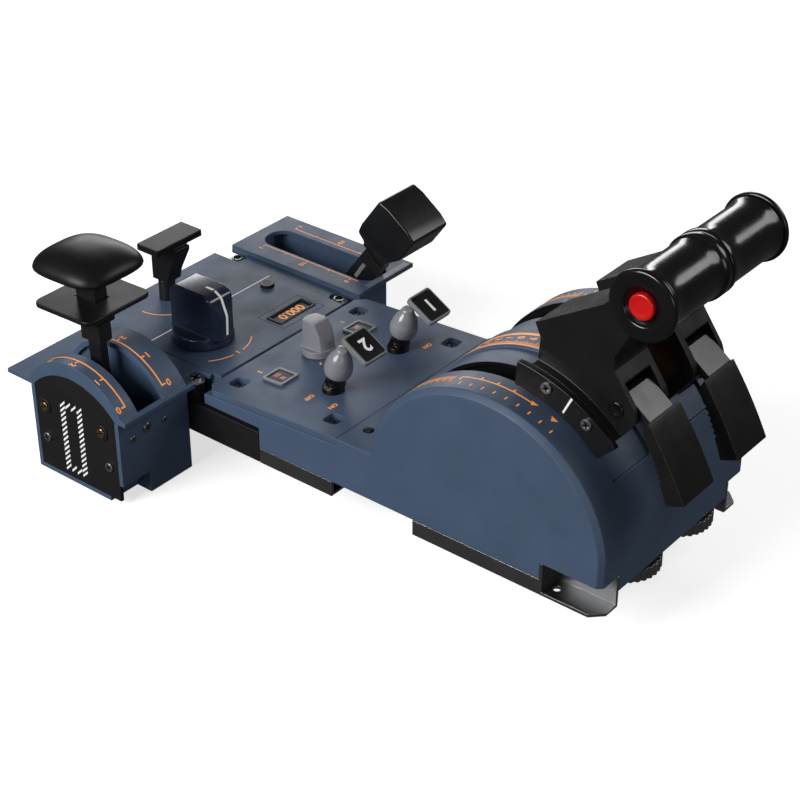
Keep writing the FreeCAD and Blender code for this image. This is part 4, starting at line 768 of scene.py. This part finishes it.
TRIM_ARC = (29.4, -145.7)
deck_marks = Print("deck_marks", ORANGE, "base")
deck_marks.arc(DECK, (PARKING_X, PARKING_Y), 23.6, 0.8, 2, 92)
deck_marks.arc(DECK, TRIM_ARC, 29.6, 0.7, 50, 82)
deck_marks.arc(DECK, TRIM_ARC, 29.6, 0.7, 98, 130)
deck_marks.patch(DECK, (29.0, 29.8), (-118.2, -114.6))
for line_x, out in ((-86.8, 1), (-117.4, -1)):
    deck_marks.patch(DECK, (line_x - 0.3, line_x + 0.3), (-199.4, -117.2))
    for number, place_y in enumerate((-199.1, -180.2, -161.0, -142.0, -123.2)):
        tick(deck_marks, DECK, line_x, out * (2.4 if number % 2 == 0 else 1.7), place_y, 0.3)
    for words, place_y in (("1", -199.1), ("1/2", -161.6), ("0", -123.2)):
        deck_marks.text(DECK, words, (line_x + out * 5.0, place_y), 3.0)
deck_marks.done()

# a groove round the display's frame, drawn as dark lines: painted shade
groove = Print("display_groove_shade", FINISH["bare_black"], "base")
for across, along in (((-48.4, -9.6), (-113.4, -113.0)), ((-48.4, -9.6), (-136.0, -135.6)),
                      ((-48.4, -48.0), (-136.0, -113.0)), ((-10.0, -9.6), (-136.0, -113.0))):
    groove.patch(DECK, across, along, lift=FLUSH)
groove.done()
window_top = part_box("display_window")[1].z / MM
digits = Print("display_digits", ORANGE, "base")
digits.text(flat(window_top), "000.0", (WINDOW_X, WINDOW_Y), 6.8)
digits.done()

# dark lines in the gaps between the panels: painted shade
seam_shade = Print("panel_seam_shade", FINISH["painted_shade_black"], "base")
for surface, across, along in ((panel, (-72.0, 72.0), (-1.1, -0.2)),
                               (DECK, (-57.0, 57.0), (-105.0, -104.3)),
                               (DECK, (-128.6, -58.0), (-104.9, -104.5))):
    seam_shade.patch(surface, across, along, lift=FLUSH)
seam_shade.done()

# each annunciator has an amber window, with a red one behind it; both glow faintly, which is
# painted light
LENS_X, LENS_V, LENS_HALF = 37.05, -74.1, 2.6
for name, color, across, along in (("amber", (0.28, 0.1, 0.03), (1.6, 5.0), (0.6, 4.2)),
                                   ("red", (0.3, 0.02, 0.03), (0.4, 5.0), (-4.4, -0.9))):
    light = Print("annunciator_%s_window" % name,
                  printed(name + "_window", color, 0.3, glow=0.12), "base")
    for side_x in (-LENS_X, LENS_X):
        light.patch(lens, (side_x + across[0] - LENS_HALF, side_x + across[1] - LENS_HALF),
                    (LENS_V + along[0], LENS_V + along[1]), lift=0.05)
    light.done()

# a pale ring round the top edge of the reset button: a painted highlight
reset_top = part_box("reset_button")[1].z / MM
revolve("reset_button_highlight_ring",
        [(3.3, reset_top - 0.3), (4.2, reset_top - 0.3), (4.1, reset_top + 0.1),
         (3.8, reset_top + 0.25), (3.3, reset_top + 0.1)],
        lambda x, y, z: (RESET_X + x, RESET_Y + y, z), FINISH["sign_rim"],
        BODY_OF["reset_button"], steps=48, closed=True)

strip = Print("arm_light_strip", FINISH["sign_rim"], BODY_OF["speed_brake_arm"])
strip.polygon(right_face(ARM_SIDE_X), [(-129.0, 31.5), (-126.6, 30.4), (-118.6, 42.2),
                                   (-121.0, 43.4)], lift=0.05)
strip.done()

bare_tab = Print("panel_end_label", printed("label_grey", (0.2, 0.22, 0.25), 0.4), "base")
bare_tab.polygon(DECK, [(-84.5, -110.4), (-84.5, -106.0), (-126.5, -106.0), (-126.5, -110.4)])
bare_tab.done()

# ------------------------------------------------------------------ recesses in screw heads, printed black: painted shade


def lumps(node):
    """The boxes of a node's separate solids, in mm, found by the edges that join points."""
    mesh = NODES[node].data
    root = list(range(len(mesh.vertices)))

    def top(index):
        while root[index] != index:
            root[index] = root[root[index]]
            index = root[index]
        return index

    by_place = {}
    for vertex in mesh.vertices:
        key = tuple(round(c * 20000) for c in vertex.co)
        root[top(vertex.index)] = top(by_place.setdefault(key, vertex.index))
    for edge in mesh.edges:
        root[top(edge.vertices[0])] = top(edge.vertices[1])
    solids = {}
    for vertex in mesh.vertices:
        solids.setdefault(top(vertex.index), []).append(vertex.co / MM)
    return [([min(p[i] for p in points) for i in range(3)],
             [max(p[i] for p in points) for i in range(3)]) for points in solids.values()]


for node, kind in (("flaps_steel_screws", "cross"), ("flaps_brass_screws", "slot"),
                   ("foot_screws_right", "cross"), ("foot_screws_left", "cross"),
                   ("captive_screws", "ring"), ("panel_screws", "cross")):
    # each recess, and the far captive screw's hole, is a black print in the head: painted shade
    recess = Print(node + "_recess", FINISH["painted_shade_black"], BODY_OF[node])
    for low, high in lumps(node):
        middle = [(a + b) / 2 for a, b in zip(low, high)]
        if node in ("captive_screws", "panel_screws"):
            head = facing_up(middle[0], middle[1], high[2])
            radius = (high[0] - low[0]) / 2
        else:
            out = -1 if node.endswith("left") else 1
            head = facing_side(high[0] if out > 0 else low[0], middle[1], middle[2], out)
            radius = (high[1] - low[1]) / 2
        head_top = upright(head, 0.0)
        if kind == "ring" and middle[0] < 0:    # the far captive screw shows a round hole
            recess.polygon(head_top, [(radius * 0.45 * math.cos(math.radians(t)),
                                       radius * 0.45 * math.sin(math.radians(t)))
                                      for t in range(0, 360, 15)], lift=0.05)
        elif kind == "slot":
            recess.bars(head_top, radius * 0.8, radius * 0.14, (20,), 0.05)
        else:
            recess.bars(head_top, radius * 0.62, radius * 0.14, (20, 110), 0.05)
    recess.done()

# ------------------------------------------------------------------ lever marks and pins

for side, sign in SIDES:
    mark = Print("foot_index_" + side, WHITE, "thrust_lever_" + side)

    def foot_face(u, v, sign=sign):
        """u is the distance from the levers' axis, v the angle from forward."""
        a = math.radians(v)
        return ((sign * FOOT_SIDE, THRUST_Y + u * math.cos(a), THRUST_Z + u * math.sin(a)),
                (sign, 0, 0))

    mark.polygon(foot_face, [(85.4, 63.85), (97.0, 63.85), (97.0, 64.6), (85.4, 64.6)])
    mark.done()

PIN_CAP = [(0.3, 0.05), (4.6, 0.05), (4.6, 0.5), (4.1, 0.9), (3.0, 0.95), (2.6, 0.6), (0.3, 0.55)]
for side, sign in SIDES:
    pin = on_axes((sign * HOOD_PIN[0],) + HOOD_PIN[1:], (0, 1, 0), (0, 0, 1), (sign, 0, 0))
    revolve("hood_pin_%s_cap" % side, PIN_CAP, pin, FINISH["grip_gloss"], "thrust_lever_" + side,
            steps=40)

# ------------------------------------------------------------------ stripes of the side plate

stripes = Print("side_plate_stripes", WHITE, "base")
DASH_HALF, DASH_TALL, DASH_RISE = 2.2, 0.85, 2.2


def dash(y, z):
    """A short white dash that rises towards the front."""
    stripes.polygon(right_face(SIDE_PLATE_X), [
        (y - DASH_HALF, z + DASH_TALL - DASH_RISE), (y + DASH_HALF, z + DASH_TALL + DASH_RISE),
        (y + DASH_HALF, z - DASH_TALL + DASH_RISE), (y - DASH_HALF, z - DASH_TALL - DASH_RISE)])


for row in range(14):
    for column_y, shift in ((-164.6, 0.0), (-150.1, 0.6)):
        dash(column_y, 28.0 + shift - row * 3.45)
for spot_y in (-159.8, -155.0):
    dash(spot_y, 28.4)
    dash(spot_y, -16.6)
stripes.done()

# ------------------------------------------------------------------ placards and trim pointer

PLACARD_HALF = (8.7, 9.45)
PLACARD_TOP = 3.56
PLACARD_LEVELS = [(0.0, 3.35, 1.6), (0.0, 3.48, 1.6), (0.25, PLACARD_TOP, 1.4)]
for side, sign in SIDES:
    switch, tipped = switch_place(sign), leaned((0, 1, 32.5), 16.0)

    def placard(x, y, z, switch=switch, tipped=tipped):
        return switch(*tipped(x, y, z))

    # each level is (inset, height, corner)
    skin("placard_face_" + side,
         [[placard(-11.5 + x, 5.5 + y, height) for x, y in
           cushion_ring(PLACARD_HALF[0] - inset, PLACARD_HALF[1] - inset, corner)]
          for inset, height, corner in PLACARD_LEVELS],
         FINISH["bare_black"], "master_knob_" + side, ())
    number = Print("placard_number_" + side, WHITE, "master_knob_" + side)
    number.text(upright(placard, PLACARD_TOP), "2" if side == "right" else "1", (-11.5, 5.2), 9.0)
    number.done()

# the white line over the knob's top and down its front, as (y, z)
pointer = Print("trim_knob_pointer", WHITE, "rudder_trim_knob")
path = [(-141.0, 72.0), (-135.4, 72.0), (-133.6, 71.7), (-130.0, 69.6), (-128.9, 68.7),
        (-128.1, 67.0), (-125.0, 58.6), (-124.6, 57.2), (-124.5, 55.4), (-124.95, 44.0)]
for (y1, z1), (y2, z2) in zip(path, path[1:]):
    run = Vector((0, y2 - y1, z2 - z1)).normalized()
    out = Vector((0, -run.z, run.y))
    corners = [(x, y + out.y * 0.06, z + out.z * 0.06) for x, y, z in
               ((28.1, y1, z1), (29.9, y1, z1), (29.9, y2, z2), (28.1, y2, z2))]
    pointer.add(corners, [(0, 1, 2, 3)])
pointer.done()

# ------------------------------------------------------------------ small fasteners and wells


def screw(name, place, radius):
    """A pan head with its cross, which is a black print: painted shade."""
    height = 0.9
    revolve(name,
            [(radius * 0.98, -0.2), (radius, 0.0), (radius, height * 0.35),
             (radius * 0.93, height * 0.72), (radius * 0.76, height * 0.93),
             (radius * 0.5, height), (0.2, height)],
            place, FINISH["steel"], "base", steps=40)
    recess = Print(name + "_recess", FINISH["bare_black"], "base")
    recess.bars(upright(place, height), radius * 0.6, radius * 0.13, (25, 115), 0.03)
    recess.done()


for name, x, z, radius in (("low", 120.2, 17.3, 2.2), ("middle", 108.3, 19.6, 3.2),
                           ("high", 94.2, 18.3, 1.9)):
    screw("flaps_front_screw_" + name, facing_front(x, FLAPS_FRONT_Y, z), radius)
BUSH = [(3.1, -0.3), (5.3, -0.3), (5.3, 0.55), (5.0, 0.85), (3.5, 0.9), (3.1, 0.6)]
for name, y, z in (("rear", -180.6, 20.7), ("front", -131.8, 21.2)):
    revolve("brass_screw_bush_" + name, BUSH, facing_side(SIDE_PLATE_X, y, z),
            FINISH["black_plastic"], "base", steps=48, closed=True)
# each well is a thin black disc on the strip: painted shade
WELL_SHADE = [(0.3, 0.02), (3.2, 0.02), (3.3, 0.06), (0.3, 0.06)]
for side, sign in SIDES:
    revolve("strip_well_shade_" + side, WELL_SHADE, facing_up(sign * WELL[0], *WELL[1:]),
            FINISH["bare_black"], "base", steps=40, closed=True)

# ------------------------------------------------------------------ studio


def keep_from_light(thing):
    """Keeps a piece of the studio out of reflections and bounced light."""
    thing.visible_glossy = False
    thing.visible_diffuse = False


white = Nodes("floor")
white.color_from(white.blend(white.ramp(white.noise(3.0, 3.0), 0.3, 0.7),
                             (0.78, 0.78, 0.78, 1.0), (0.82, 0.82, 0.82, 1.0)))
socket_set(white.shader, rough=0.8, specular=0.0, glow=0.66, glow_color=(1.0, 1.0, 1.0, 1.0))

FLOOR_REACH = 6.0
floor_z = CAD_BOX[0][2] - 0.0004
floor_mesh = bpy.data.meshes.new("floor")
floor_mesh.from_pydata([(x * FLOOR_REACH, y * FLOOR_REACH, floor_z)
                        for x, y in ((-1, -1), (1, -1), (1, 1), (-1, 1))], [], [(0, 1, 2, 3)])
floor_mesh.materials.append(white.material)
floor = linked("floor", floor_mesh)
keep_from_light(floor)

backdrop_mesh = bpy.data.meshes.new("backdrop")
work = bmesh.new()
bmesh.ops.create_uvsphere(work, u_segments=48, v_segments=24, radius=14.0)
work.to_mesh(backdrop_mesh)
work.free()
backdrop_mesh.materials.append(white.material)
backdrop = linked("backdrop", backdrop_mesh)
keep_from_light(backdrop)
backdrop.visible_shadow = False

world = bpy.data.worlds.new("studio")
world.use_nodes = True
background = world.node_tree.nodes["Background"]
background.inputs["Color"].default_value = (1.0, 1.0, 1.0, 1.0)
background.inputs["Strength"].default_value = 0.07
bpy.context.scene.world = world


def lamp(name, place, target, size, power):
    """A rectangle of light; places and sizes in metres."""
    light = bpy.data.lights.new(name, "AREA")
    light.shape = "RECTANGLE"
    light.size, light.size_y = size
    light.energy = power
    holder = linked(name, light)
    holder.location = place
    aim = Vector(target) - Vector(place)
    holder.rotation_euler = aim.to_track_quat("-Z", "Y").to_euler()


lamp("side_key", (1.5, -0.45, 0.85), (0, 0, 0.03), (1.0, 0.8), 29.0)
lamp("rear_box", (-1.5, -1.3, 0.6), (0, -0.08, 0.03), (1.3, 0.55), 12.0)
lamp("far_front_box", (-1.02, 1.0, 1.04), (0.03, 0.18, 0.14), (0.75, 0.75), 7.5)
lamp("front_fill", (1.1, 1.7, 0.5), (0, 0.05, 0.04), (0.9, 0.6), 3.5)

# the photo's camera, solved on the module's straight edges
CAMERA_PLACE = (0.745549, 0.588515, 0.627875)
azimuth, elevation = math.radians(128.85), math.radians(32.12)
camera_data = bpy.data.cameras.new("camera")
camera_data.lens = 85.0
camera_data.sensor_width = 36.0
camera = linked("camera", camera_data)
camera.location = CAMERA_PLACE
back = Vector((math.sin(azimuth) * math.cos(elevation), -math.cos(azimuth) * math.cos(elevation),
               math.sin(elevation)))
camera.rotation_euler = (-back).to_track_quat("-Z", "Y").to_euler()
bpy.context.scene.camera = camera
bpy.context.scene.view_settings.view_transform = "Standard"
